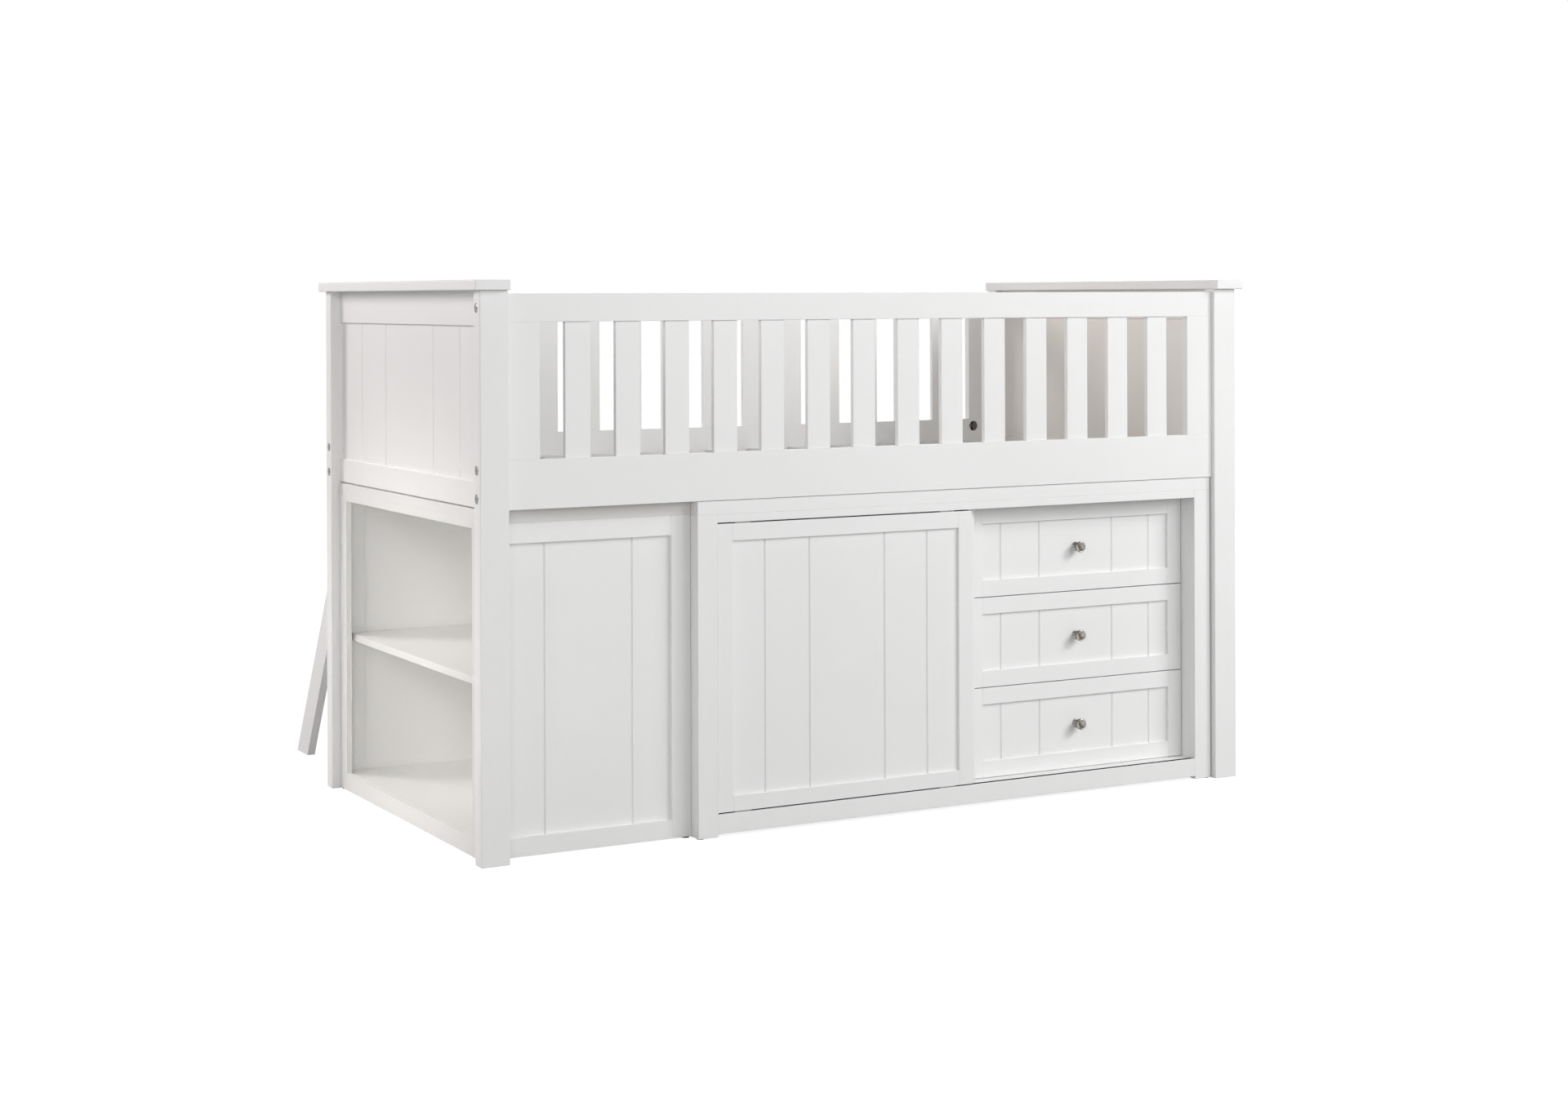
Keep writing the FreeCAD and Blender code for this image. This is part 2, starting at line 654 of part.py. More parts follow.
def make_ladder():
    """Two leaning stiles cut against the back rail, treads let into them and steel hooks."""
    inner = "(ladder_foot - ladder_half_foot - back_guard_outer)"
    outer = "(ladder_foot + ladder_half_foot - back_guard_outer)"
    corners = [
        (inner, "0"),
        (outer, "0"),
        (f"{outer} - side_rail_top * ladder_slope", "side_rail_top"),
        ("0", "side_rail_top"),
        ("0", f"{inner} / ladder_slope"),
    ]
    lefts = ["ladder_left", "ladder_left + ladder_width - ladder_stile_thickness"]
    treads = []
    for at in range(1, int(SIZES["tread_count"]) + 1):
        top = f"{at} * tread_rise"
        middle = f"ladder_foot - ({top} - tread_thickness / 2) * ladder_slope"
        low = ("ladder_left + ladder_stile_thickness - tread_housing",
               f"{middle} - tread_depth / 2", f"{top} - tread_thickness")
        high = ("ladder_left + ladder_width - ladder_stile_thickness + tread_housing",
                f"{middle} + tread_depth / 2", top)
        treads.append(plank("tread", low, high))
    stiles = []
    for left in lefts:
        stile = profile("ladder_stile", "YZ_Plane", corners, "ladder_stile_thickness",
                        (left, "back_guard_outer", "0"))
        stiles.append(cut(stile, *treads))
    node("ladder_stiles", stiles)
    node("ladder_treads", treads)
    reach = "(hook_bar + hook_fit + guard_thickness)"
    rise = "hook_plate_height"
    hook_corners = [
        (f"{reach} + hook_fit", "0"),
        (f"{reach} + hook_plate_depth", "0"),
        (f"{reach} + hook_plate_depth", f"{rise} - hook_bar"),
        (f"{reach} + hook_fit + hook_bar", f"{rise} + hook_bar"),
        ("0", f"{rise} + hook_bar"),
        ("0", f"{rise} - hook_drop"),
        ("hook_bar", f"{rise} - hook_drop"),
        ("hook_bar", f"{rise} + hook_fit"),
        (f"{reach} + hook_fit", f"{rise} + hook_fit"),
    ]
    hooks = []
    for left in (f"{lefts[0]} + ladder_stile_thickness", f"{lefts[1]} - hook_thickness"):
        place = (left, f"back_guard_outer - {reach}", "side_rail_top - hook_plate_height")
        hooks.append(profile("ladder_hook", "YZ_Plane", hook_corners, "hook_thickness", place))
    node("ladder_hooks", hooks)


def make_bookcase():
    """Open bookcase whose face looks out of the bed's left end."""
    near, far = "bookcase_near", "bookcase_far"
    near_in, far_in = "bookcase_near_inner", "bookcase_far_inner"
    front, rear = "bookcase_setback", "bookcase_rear"
    floor = "bookcase_glide_height"
    top = [plank("bookcase_top_board", (front, near_in, "bookcase_top_underside"),
                 (rear, far_in, "unit_top"))]
    for low, high in ((near, near_in), (far_in, far)):
        top.append(plank("bookcase_top_edge", (front, low, "bookcase_side_top"),
                         (rear, high, "unit_top")))
    node("bookcase_top", top)
    base = plank("bookcase_base_board",
                 ("bookcase_face_rear", near_in, "bookcase_base_top - bookcase_board_thickness"),
                 ("bookcase_back_front", far_in, "bookcase_base_top"))
    node("bookcase_base", [base])
    stile = "bookcase_stile_width"
    face_rear = "bookcase_face_rear"
    under = "bookcase_top_underside"
    face = [
        plank("bookcase_near_stile", (front, near_in, floor), (face_rear, f"{near_in} + {stile}", under)),
        plank("bookcase_far_stile", (front, f"{far_in} - {stile}", floor), (face_rear, far_in, under)),
        plank("bookcase_bottom_rail", (front, f"{near_in} + {stile}", floor),
              (face_rear, f"{far_in} - {stile}", "bookcase_base_top")),
        plank("bookcase_top_rail", (front, f"{near_in} + {stile}", f"{under} - bookcase_face_rail_height"),
              (face_rear, f"{far_in} - {stile}", under)),
    ]
    node("bookcase_face_frame", face)
    pin_z = "bookcase_shelf_bottom - pin_radius"
    pin_x = ["bookcase_setback + bookcase_pin_inset", "bookcase_rear - bookcase_pin_inset"]
    pins = {"near": [], "far": []}
    spans = {
        "near": (f"{near_in} - pin_depth", f"{near_in} - pin_depth + pin_length"),
        "far": (f"{far_in} + pin_depth - pin_length", f"{far_in} + pin_depth"),
    }
    for side, (start, end) in spans.items():
        for x in pin_x:
            pins[side].append(rod("bookcase_pin", "y", start, end, (x, pin_z), "pin_radius"))
    frames, panels = [], []
    for side, low, high, faces in (("near", near, near_in, "-y"), ("far", far_in, far, "+y")):
        members, panel = framed_panel(
            f"bookcase_{side}",
            ("bookcase_side_front", low, floor), (rear, high, "bookcase_side_top"),
            ("bookcase_front_stile_width", "bookcase_rear_stile_width"),
            ("bookcase_side_bottom_rail_height", "bookcase_side_top_rail_height"),
            "bookcase_panel_recess", ["bookcase_groove_share"], faces)
        members[0] = cut(members[0], pins[side][0])
        members[1] = cut(members[1], pins[side][1])
        frames += members
        panels.append(panel)
    node("bookcase_side_frames", frames)
    node("bookcase_side_panels", panels)
    back = plank("bookcase_back_board", ("bookcase_back_front", near_in, floor),
                 ("bookcase_rear - bookcase_back_inset", far_in, under))
    node("bookcase_back", [back])
    shelf = plank("bookcase_shelf_board",
                  ("bookcase_setback + bookcase_shelf_setback", f"{near_in} + shelf_fit",
                   "bookcase_shelf_bottom"),
                  ("bookcase_back_front - shelf_fit", f"{far_in} - shelf_fit", "bookcase_shelf_top"))
    node("bookcase_shelf", [shelf])
    node("bookcase_shelf_pins", pins["near"] + pins["far"])
    inset = "bookcase_side_thickness / 2"
    glides = []
    for x in (f"bookcase_side_front + {inset}", f"bookcase_rear - {inset}"):
        for y in (f"{near} + {inset}", f"{far} - {inset}"):
            glides.append(rod("bookcase_glide", "z", "0", floor, (x, y), "bookcase_glide_radius"))
    node("bookcase_glides", glides)


def make_tracks():
    """Channels in the face frame's rails for the sliding door, with the grooves they sit in."""
    tracks, grooves = [], []
    spans = {
        "bottom": ("opening_bottom - track_depth", "opening_bottom"),
        "top": ("opening_top", "opening_top + track_depth"),
    }
    for name, (low, high) in spans.items():
        outer = board(f"{name}_track_blank", ("opening_left", "track_front", low),
                      ("opening_right", "track_rear", high))
        slot_low = f"{low} + track_wall" if name == "bottom" else low
        slot_high = high if name == "bottom" else f"{high} - track_wall"
        slot = board(f"{name}_track_slot", ("opening_left", "track_front + track_wall", slot_low),
                     ("opening_right", "track_rear - track_wall", slot_high))
        tracks.append(cut(outer, slot))
        grooves.append(outer)
    node("door_tracks", tracks)
    return grooves


def make_cabinet():
    """Long cabinet with a face frame, a divider and the fixed halves of the drawer runners."""
    left, right = "cabinet_left", "cabinet_right"
    left_in, right_in = "cabinet_left_inner", "cabinet_right_inner"
    front, rear = "cabinet_front", "cabinet_rear"
    face_rear, back_front = "cabinet_face_rear", "cabinet_back_front"
    floor, under = "cabinet_glide_height", "cabinet_underside"
    node("cabinet_top", [plank("cabinet_top_board", (left, front, under), (right, rear, "unit_top"))])
    base = [
        plank("cabinet_base_board", (left_in, face_rear, "cabinet_base_bottom"),
              (right_in, back_front, "opening_bottom")),
        plank("cabinet_rear_plinth",
              (left_in, f"{back_front} - cabinet_board_thickness", "cabinet_bottom_rail_lift"),
              (right_in, back_front, "cabinet_base_bottom")),
    ]
    node("cabinet_base", base)
    pin_z = "cabinet_shelf_bottom - pin_radius"
    pin_y = [f"{face_rear} + cabinet_pin_inset", f"{back_front} - cabinet_pin_inset"]
    left_pins, right_pins = [], []
    spans = (
        (left_pins, f"{left_in} - pin_depth", f"{left_in} - pin_depth + pin_length"),
        (right_pins, "divider_left + pin_depth - pin_length", "divider_left + pin_depth"),
    )
    for pins, start, end in spans:
        for y in pin_y:
            pins.append(rod("cabinet_pin", "x", start, end, (y, pin_z), "pin_radius"))
    left_side = plank("cabinet_left_side", (left, face_rear, floor), (left_in, rear, under))
    right_side = plank("cabinet_right_side", (right_in, face_rear, floor), (right, rear, under))
    liner = plank("cabinet_drawer_liner", ("opening_right", face_rear, "opening_bottom"),
                  ("opening_right + cabinet_board_thickness", back_front, under))
    node("cabinet_sides", [cut(left_side, *left_pins), right_side, liner])
    divider = plank("cabinet_divider_board", ("divider_left", "divider_front", "opening_bottom"),
                    ("divider_right", back_front, "opening_top"))
    cleat = plank("cabinet_divider_cleat",
                  ("divider_left", "cabinet_face_rear", "opening_top"),
                  ("divider_right", back_front, under))
    node("cabinet_divider", [cut(divider, *right_pins), cleat])
    node("cabinet_back", [plank("cabinet_back_board", (left_in, back_front, "cabinet_bottom_rail_lift"),
                                (right_in, rear, under))])
    grooves = make_tracks()
    face = [
        plank("cabinet_left_stile", (left, front, floor), ("opening_left", face_rear, under)),
        plank("cabinet_right_stile", ("opening_right", front, floor), (right, face_rear, under)),
        cut(plank("cabinet_bottom_rail", ("opening_left", front, "cabinet_bottom_rail_lift"),
                  ("opening_right", face_rear, "opening_bottom")), grooves[0]),
        cut(plank("cabinet_top_rail", ("opening_left", front, "opening_top"),
                  ("opening_right", face_rear, under)), grooves[1]),
    ]
    node("cabinet_face_frame", face)
    shelf_front = "cabinet_front + cabinet_shelf_setback"
    shelf = plank("cabinet_shelf_board",
                  (f"{left_in} + shelf_fit", shelf_front, "cabinet_shelf_bottom"),
                  ("divider_left - shelf_fit", f"{back_front} - shelf_fit", "cabinet_shelf_top"))
    node("cabinet_shelf", [shelf])
    node("cabinet_shelf_pins", left_pins + right_pins)
    glides = []
    for x in (f"{left} + cabinet_board_thickness / 2", f"{right} - cabinet_board_thickness / 2"):
        for y in (f"{front} + cabinet_face_thickness / 2", f"{rear} - cabinet_face_thickness / 2"):
            glides.append(rod("cabinet_glide", "z", "0", floor, (x, y), "cabinet_glide_radius"))
    node("cabinet_glides", glides)


def make_door():
    """Framed sliding door with a grooved panel and the guides that run in the tracks."""
    frame, panel = framed_panel(
        "door", ("door_left", "door_front", "door_bottom"), ("door_right", "door_rear", "door_top"),
        ("door_stile_width", "door_stile_width"), ("door_bottom_rail_height", "door_top_rail_height"),
        "door_panel_recess", ["door_inner_groove_share", "door_outer_groove_share"])
    node("door_frame", frame)
    node("door_panel", [panel])
    guides = []
    y = ("track_front + track_wall + sliding_fit", "track_rear - track_wall - sliding_fit")
    spans = (("opening_bottom - track_depth + track_wall + sliding_fit", "door_bottom"),
             ("door_top", "opening_top + track_depth - track_wall - sliding_fit"))
    for x in ("door_left + guide_inset", "door_right - guide_inset - guide_length"):
        for low, high in spans:
            guides.append(plank("door_guide", (x, y[0], low), (f"{x} + guide_length", y[1], high)))
    node("door_guides", guides)


def runner_pair(name, side, middle):
    """A channel fixed beside the drawer and the bar on the drawer that slides in it."""
    length = "drawer_box_depth"
    fit = "sliding_fit"
    channel = [
        ("0", "0"),
        ("runner_lip", "0"),
        ("runner_lip", "runner_wall"),
        ("runner_wall", "runner_wall"),
        ("runner_wall", "runner_height - runner_wall"),
        ("runner_lip", "runner_height - runner_wall"),
        ("runner_lip", "runner_height"),
        ("0", "runner_height"),
    ]
    bottom = f"{middle} - runner_height / 2"
    bar_z = (f"{bottom} + runner_wall + {fit}", f"{bottom} + runner_height - runner_wall - {fit}")
    if side == "left":
        place_x = "divider_right"
        bar_x = (f"divider_right + runner_wall + {fit}", "drawer_box_left")
    else:
        place_x = "opening_right - runner_lip"
        channel = [(f"runner_lip - ({x})" if x != "0" else "runner_lip", z) for x, z in channel]
        channel = [("0" if x == "runner_lip - (runner_lip)" else x, z) for x, z in channel]
        bar_x = ("drawer_box_right", f"opening_right - runner_wall - {fit}")
    fixed = profile(f"{name}_channel", "XZ_Plane", channel, length,
                    (place_x, "drawer_rear", bottom), reverse=True)
    bar = board(f"{name}_bar", (bar_x[0], "drawer_rear", bar_z[0]),
                (bar_x[1], f"drawer_rear + {length}", bar_z[1]))
    return fixed, bar


def make_knob(name, middle):
    """Round knob: a flange on the panel, a tapered neck and a flattened round head."""
    x = "(drawer_left + drawer_right) / 2"
    face = "drawer_panel_face"
    across = (x, middle)
    flange_start = f"{face} - knob_flange_thickness"
    flange = rod(name + "_flange", "y", flange_start, face, across, "knob_flange_radius")
    head_middle = f"{face} - knob_projection + knob_head_half_thickness"
    neck_end = f"{face} - knob_neck_distance"
    neck = rod(name + "_neck", "y", head_middle, neck_end, across, "knob_neck_radius")
    foot = doc.addObject("Part::Cone", name + "_foot")
    foot.Placement = FreeCAD.Placement(FreeCAD.Vector(), TURNS["y"])
    foot.setExpression("Radius1", bound("knob_neck_radius"))
    foot.setExpression("Radius2", bound("knob_foot_radius"))
    foot.setExpression("Height", bound("knob_neck_distance - knob_flange_thickness"))
    head = doc.addObject("Part::Ellipsoid", name + "_head")
    head.Placement = FreeCAD.Placement(FreeCAD.Vector(), TURNS["y"])
    head.setExpression("Radius1", bound("knob_head_half_thickness"))
    head.setExpression("Radius2", bound("knob_head_radius"))
    head.setExpression("Radius3", bound("knob_head_radius"))
    for piece, y in ((foot, neck_end), (head, head_middle)):
        for axis, place in zip("xyz", (x, y, middle)):
            piece.setExpression(f"Placement.Base.{axis}", bound(place))
    return fuse(name, [flange, foot, neck, head])


def make_drawers():
    """Three drawers alike: framed front, box, knob and runners."""
    fixed_runners = []
    for at, name in enumerate(("bottom", "middle", "top")):
        low = f"opening_bottom + drawer_bottom_gap + {at} * drawer_pitch"
        high = f"{low} + drawer_height"
        frame, panel = framed_panel(
            f"drawer_{name}", ("drawer_left", "drawer_front", low), ("drawer_right", "drawer_rear", high),
            ("drawer_stile_width", "drawer_stile_width"), ("drawer_rail_height", "drawer_rail_height"),
            "drawer_panel_recess", ["drawer_inner_groove_share", "drawer_outer_groove_share"])
        node(f"drawer_{name}_front", frame + [panel])
        bottom = f"{low} + drawer_box_rise"
        top = f"{bottom} + drawer_box_height"
        left, right = "drawer_box_left", "drawer_box_right"
        front, rear = "drawer_rear", "drawer_box_rear"
        inner_left, inner_right = f"{left} + drawer_wall", f"{right} - drawer_wall"
        inner_front, inner_rear = f"{front} + drawer_wall", f"{rear} - drawer_wall"
        tray = f"{bottom} + drawer_floor_thickness"
        box = [
            plank(f"{name}_left_wall", (left, front, bottom), (inner_left, rear, top)),
            plank(f"{name}_right_wall", (inner_right, front, bottom), (right, rear, top)),
            plank(f"{name}_front_wall", (inner_left, front, tray), (inner_right, inner_front, top)),
            plank(f"{name}_rear_wall", (inner_left, inner_rear, tray), (inner_right, rear, top)),
            plank(f"{name}_floor", (inner_left, front, bottom), (inner_right, rear, tray)),
        ]
        node(f"drawer_{name}_box", box)
        middle = f"({bottom} + drawer_box_height / 2)"
        node(f"drawer_{name}_knob", [make_knob(f"{name}_knob", f"({low} + drawer_height / 2)")])
        pairs = [runner_pair(f"{name}_{side}_runner", side, middle) for side in ("left", "right")]
        fixed_runners += [pair[0] for pair in pairs]
        node(f"drawer_{name}_runners", [pair[1] for pair in pairs])
    node("drawer_channels", fixed_runners)


def write_parts():
    """Check every object and write each node's shape."""
    doc.recompute()
    for thing in doc.Objects:
        if "Invalid" in thing.State or "Error" in thing.State:
            raise ValueError(f"{thing.Label} failed: {thing.State}")
    os.makedirs("parts", exist_ok=True)
    for group in nodes:
        shape = group.Shape
        if shape.isNull() or not shape.isValid():
            raise ValueError(f"{group.Label} has no valid shape")
        shape.exportStep(f"parts/{group.Label}.step")
        box = shape.BoundBox
        print(f"{group.Label:24s} {len(shape.Solids):3d} solids {shape.Volume / 1000:10.1f} cm3  "
              f"x {box.XMin:8.1f} {box.XMax:8.1f}  y {box.YMin:8.1f} {box.YMax:8.1f}  "
              f"z {box.ZMin:7.1f} {box.ZMax:7.1f}")


fill_sheet()
bolts, nuts, post_tools, rail_tools = make_bolts()
make_ends(post_tools)
make_sides(rail_tools)
make_base()
node("frame_bolts", bolts)
node("frame_nuts", nuts)
make_ladder()
make_bookcase()
make_cabinet()
make_door()
make_drawers()
write_parts()
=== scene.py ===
# %% [markdown]
# # A low loft bed, dressed in Blender
#
# The bed, its ladder, the open bookcase and the long cabinet come from CAD as
# exact solids. This lesson gives them paint, wood and metal, adds the small
# turned and threaded things that a joiner would fit last, and sets up a studio
# around them.
#
# Lengths are in metres. X runs along the bed, Y to the back and Z up. The
# origin is on the floor, under the middle of the bed and the ladder that leans
# on its back, taken together.

import json
import math

import bmesh
import bpy
from mathutils import Matrix, Vector


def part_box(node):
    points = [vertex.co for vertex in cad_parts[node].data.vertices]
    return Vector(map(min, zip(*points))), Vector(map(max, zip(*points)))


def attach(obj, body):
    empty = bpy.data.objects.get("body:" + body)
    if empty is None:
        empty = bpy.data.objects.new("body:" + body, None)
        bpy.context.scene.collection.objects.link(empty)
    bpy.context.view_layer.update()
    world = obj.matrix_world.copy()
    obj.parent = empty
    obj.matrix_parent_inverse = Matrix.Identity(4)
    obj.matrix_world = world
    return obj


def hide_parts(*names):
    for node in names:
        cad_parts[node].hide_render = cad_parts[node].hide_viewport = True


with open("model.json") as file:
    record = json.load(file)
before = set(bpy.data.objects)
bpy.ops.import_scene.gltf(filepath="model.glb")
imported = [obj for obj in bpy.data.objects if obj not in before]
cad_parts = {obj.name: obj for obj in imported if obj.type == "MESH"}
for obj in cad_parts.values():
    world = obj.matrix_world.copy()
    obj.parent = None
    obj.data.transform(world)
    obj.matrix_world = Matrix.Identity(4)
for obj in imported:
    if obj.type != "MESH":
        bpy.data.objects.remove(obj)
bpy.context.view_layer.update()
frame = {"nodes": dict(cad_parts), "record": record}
nodes = frame["nodes"]
scene = bpy.context.scene

# %% [markdown]
# ## The camera
#
# A camera could be placed by eye, but straight furniture shows every error at
# once. Here the place, heading and focal length were worked out from the
# corners of the bed in the picture. The camera looks level, so that upright
# edges stay upright, and the sensor is shifted down instead of tilting the
# camera. A tiny roll takes up the rest.

# %% The camera
PICTURE_WIDTH = 1920
SENSOR_MM = 36.0
FOCAL_PIXELS = 3013.9
HORIZON_PIXELS = 316.4
CAMERA_PLACE = Vector((-2.9236, -5.5455, 1.1903))
HEADING = math.radians(28.889)
LEVEL = math.radians(90)
ROLL = math.radians(-0.19)
FAR_END = 200

camera = bpy.data.objects.new("camera", bpy.data.cameras.new("camera"))
scene.collection.objects.link(camera)
scene.camera = camera
camera.data.sensor_width = SENSOR_MM
camera.data.lens = FOCAL_PIXELS * SENSOR_MM / PICTURE_WIDTH
camera.data.shift_y = -HORIZON_PIXELS / PICTURE_WIDTH
camera.data.clip_end = FAR_END
camera.matrix_world = (
    Matrix.Translation(CAMERA_PLACE)
    @ Matrix.Rotation(-HEADING, 4, "Z")
    @ Matrix.Rotation(LEVEL, 4, "X")
    @ Matrix.Rotation(ROLL, 4, "Z")
)
print("camera focal length:", round(camera.data.lens, 2), "mm")

# %% [markdown]
# ## Maths on sockets
#
# A procedural finish is a small formula. Written with nodes it becomes a long
# list of links, so a little class wraps a socket and lets Python's own
# operators add the Math nodes. Every other node comes from one method, add: the
# kind, its settings, then the values or links of its sockets.

# %% A class for sockets
class Signal:
    """An output socket that can be added, multiplied and compared like a number."""

    def __init__(self, shading, socket):
        self.shading = shading
        self.socket = socket

    def maths(self, operation, *values):
        return self.shading.add("Math", {"operation": operation}, dict(enumerate(values)))

    def __add__(self, other):
        return self.maths("ADD", self, other)

    def __sub__(self, other):
        return self.maths("SUBTRACT", self, other)

    def __rsub__(self, other):
        return self.maths("SUBTRACT", other, self)

    def __mul__(self, other):
        return self.maths("MULTIPLY", self, other)

    def __lt__(self, other):
        return self.maths("LESS_THAN", self, other)

    def __gt__(self, other):
        return self.maths("GREATER_THAN", self, other)

    def __abs__(self):
        return self.maths("ABSOLUTE", self)

    __radd__ = __add__
    __rmul__ = __mul__

    def axis(self, letter):
        """The X, Y or Z of a place."""
        return self.shading.add("SeparateXYZ", {}, {"Vector": self}, letter)

    def with_some(self, share, other):
        """This signal, with a share of another in it."""
        return self * (1 - share) + other * share

    def fit(self, low, high, new_low=0.0, new_high=1.0):
        """Stretch the range low..high to new_low..new_high and hold it there."""
        sockets = {"Value": self, "From Min": low, "From Max": high, "To Min": new_low, "To Max": new_high}
        return self.shading.add("MapRange", {"interpolation_type": "SMOOTHSTEP"}, sockets)

    def vary(self, low=0.0, high=1.0):
        """Stretch noise, most of which lies between 0.3 and 0.7, to low..high."""
        return self.fit(0.3, 0.7, low, high)


print("made a class:", Signal.__doc__)

# %% A class for node trees
class Shading:
    """The node tree of a world or a material, under construction."""

    def __init__(self, owner):
        owner.use_nodes = True
        self.tree = owner.node_tree

    def add(self, kind, settings=None, sockets=None, output=None):
        """Add a node, set it up, feed its sockets and return one of its outputs."""
        node = self.tree.nodes.new("ShaderNode" + kind)
        for name, value in (settings or {}).items():
            setattr(node, name, value)
        for name, value in (sockets or {}).items():
            if isinstance(name, int):
                socket = node.inputs[name]
            else:
                socket = next(each for each in node.inputs if each.name == name and each.enabled)
            if isinstance(value, Signal):
                self.tree.links.new(value.socket, socket)
            else:
                socket.default_value = value
        live = [each for each in node.outputs if each.enabled]
        return Signal(self, next(each for each in live if output in (None, each.name)))


print("made a class:", Shading.__doc__)

# %% A class for finishes
class Finish(Shading):
    """A material under construction."""

    def __init__(self, name, **constants):
        self.material = bpy.data.materials.new(name)
        super().__init__(self.material)
        self.surface = self.tree.nodes["Principled BSDF"]
        for socket, value in constants.items():
            self.surface.inputs[socket.replace("_", " ")].default_value = value

    def place(self):
        """The point on the object, in metres."""
        return self.add("TexCoord", output="Object")

    def stretch(self, place, scale):
        return self.add("Mapping", {}, {"Vector": place, "Scale": scale})

    def noise(self, place, scale=1.0, detail=2.0, roughness=0.5):
        sockets = {"Vector": place, "Scale": scale, "Detail": detail, "Roughness": roughness}
        return self.add("TexNoise", {}, sockets)

    def mix(self, factor, first, second):
        """Blend two colours."""
        first, second = (
            (*colour, 1) if isinstance(colour, tuple) else colour
            for colour in (first, second)
        )
        return self.add("Mix", {"data_type": "RGBA"}, {"Factor": factor, "A": first, "B": second})

    def bump(self, height, distance, strength):
        return self.add("Bump", {}, {"Height": height, "Distance": distance, "Strength": strength})

    def wire(self, **links):
        """Feed the shader's varying sockets."""
        for name, value in links.items():
            self.tree.links.new(value.socket, self.surface.inputs[name.replace("_", " ")])


print("made a class:", Finish.__doc__)

# %% [markdown]
# ## The studio
#
# The picture was taken in a white studio. The floor and the world look white
# to the camera, but they light the bed only as a plain room would. The Light
# Path node tells the two apart: camera, mirror and glass rays see white, all
# other rays see the dimmer room. Near the bed the floor's glow is a little
# weaker, so that the bed's shadow still shows on it.

# %% The world
ROOM_LIGHT = 0.06


def seen(shading):
    """1 for camera, mirror and glass rays, 0 for the rays that only bring light."""
    ray = shading.add("LightPath", output="Is Camera Ray")
    for kind in ("Is Glossy Ray", "Is Transmission Ray"):
        ray = ray.maths("MAXIMUM", ray, shading.add("LightPath", output=kind))
    return ray


world = bpy.data.worlds.new("studio")
scene.world = world
sky = Shading(world)
level = sky.add("MapRange", {}, {"Value": seen(sky), "To Min": ROOM_LIGHT, "To Max": 1.0})
backdrop = sky.tree.nodes["Background"]
backdrop.inputs["Color"].default_value = (1, 1, 1, 1)
sky.tree.links.new(level.socket, backdrop.inputs["Strength"])
print("room light:", ROOM_LIGHT)

# %% The floor
FLOOR_HALF_WIDTH = 40
FLOOR_GREY = (0.4, 0.4, 0.4, 1)
GLOW_AT_BED = 0.84
GLOW_FAR_OUT = 1.0
GLOW_GROWS_FROM = 1.2
GLOW_GROWS_TO = 3.5

mesh = bmesh.new()
bmesh.ops.create_grid(mesh, x_segments=1, y_segments=1, size=FLOOR_HALF_WIDTH)
floor_mesh = bpy.data.meshes.new("floor")
mesh.to_mesh(floor_mesh)
mesh.free()
floor = bpy.data.objects.new("floor", floor_mesh)
scene.collection.objects.link(floor)

paper = Finish("studio_floor", Roughness=0.9, Specular_IOR_Level=0.0, Base_Color=FLOOR_GREY)
plain = Signal(paper, paper.surface.outputs[0])
away = paper.add("VectorMath", {"operation": "LENGTH"}, {0: paper.place()}, "Value")
strength = away.fit(GLOW_GROWS_FROM, GLOW_GROWS_TO, GLOW_AT_BED, GLOW_FAR_OUT)
glow = paper.add("Emission", {}, {"Strength": strength})
glowing = paper.add("AddShader", {}, {0: glow, 1: plain})
shown = paper.add("MixShader", {}, {0: seen(paper), 1: plain, 2: glowing})
paper.tree.links.new(shown.socket, paper.tree.nodes["Material Output"].inputs["Surface"])
floor.data.materials.append(paper.material)
print("floor:", 2 * FLOOR_HALF_WIDTH, "m square")

# %% [markdown]
# ## The lamps
#
# Big, plain area lamps make soft shadows. The strongest stands to the right of
# the camera, because the right-hand end of the bed is the brightest. Lamps on
# the left and behind light the end panel. Three have a narrow spread, as
# through a honeycomb grid: two reach into the open bookcase, and one, which is
# amber, hangs over the bed and lights the inside of its far end.

# %% A lamp
BED_MIDDLE = (0, 0, 0.6)
WIDE_OPEN = 180


def lamp(name, place, width, watts, colour, aim=BED_MIDDLE, spread=WIDE_OPEN):
    """A square area lamp at a place, turned to an aim, with its spread in degrees."""
    light = bpy.data.lights.new(name, "AREA")
    light.shape = "SQUARE"
    light.color = colour
    light.size = width
    light.energy = watts
    light.spread = math.radians(spread)
    thing = bpy.data.objects.new(name, light)
    thing.location = place
    thing.rotation_euler = (Vector(aim) - Vector(place)).to_track_quat("-Z", "Y").to_euler()
    scene.collection.objects.link(thing)
    print(name, "lamp:", watts, "W")


# %% The lamps
NEUTRAL = (1.0, 1.0, 1.0)
WARM = (1.0, 0.95, 0.94)
HONEY = (1.0, 0.97, 0.925)
AMBER = (1.0, 0.82, 0.66)

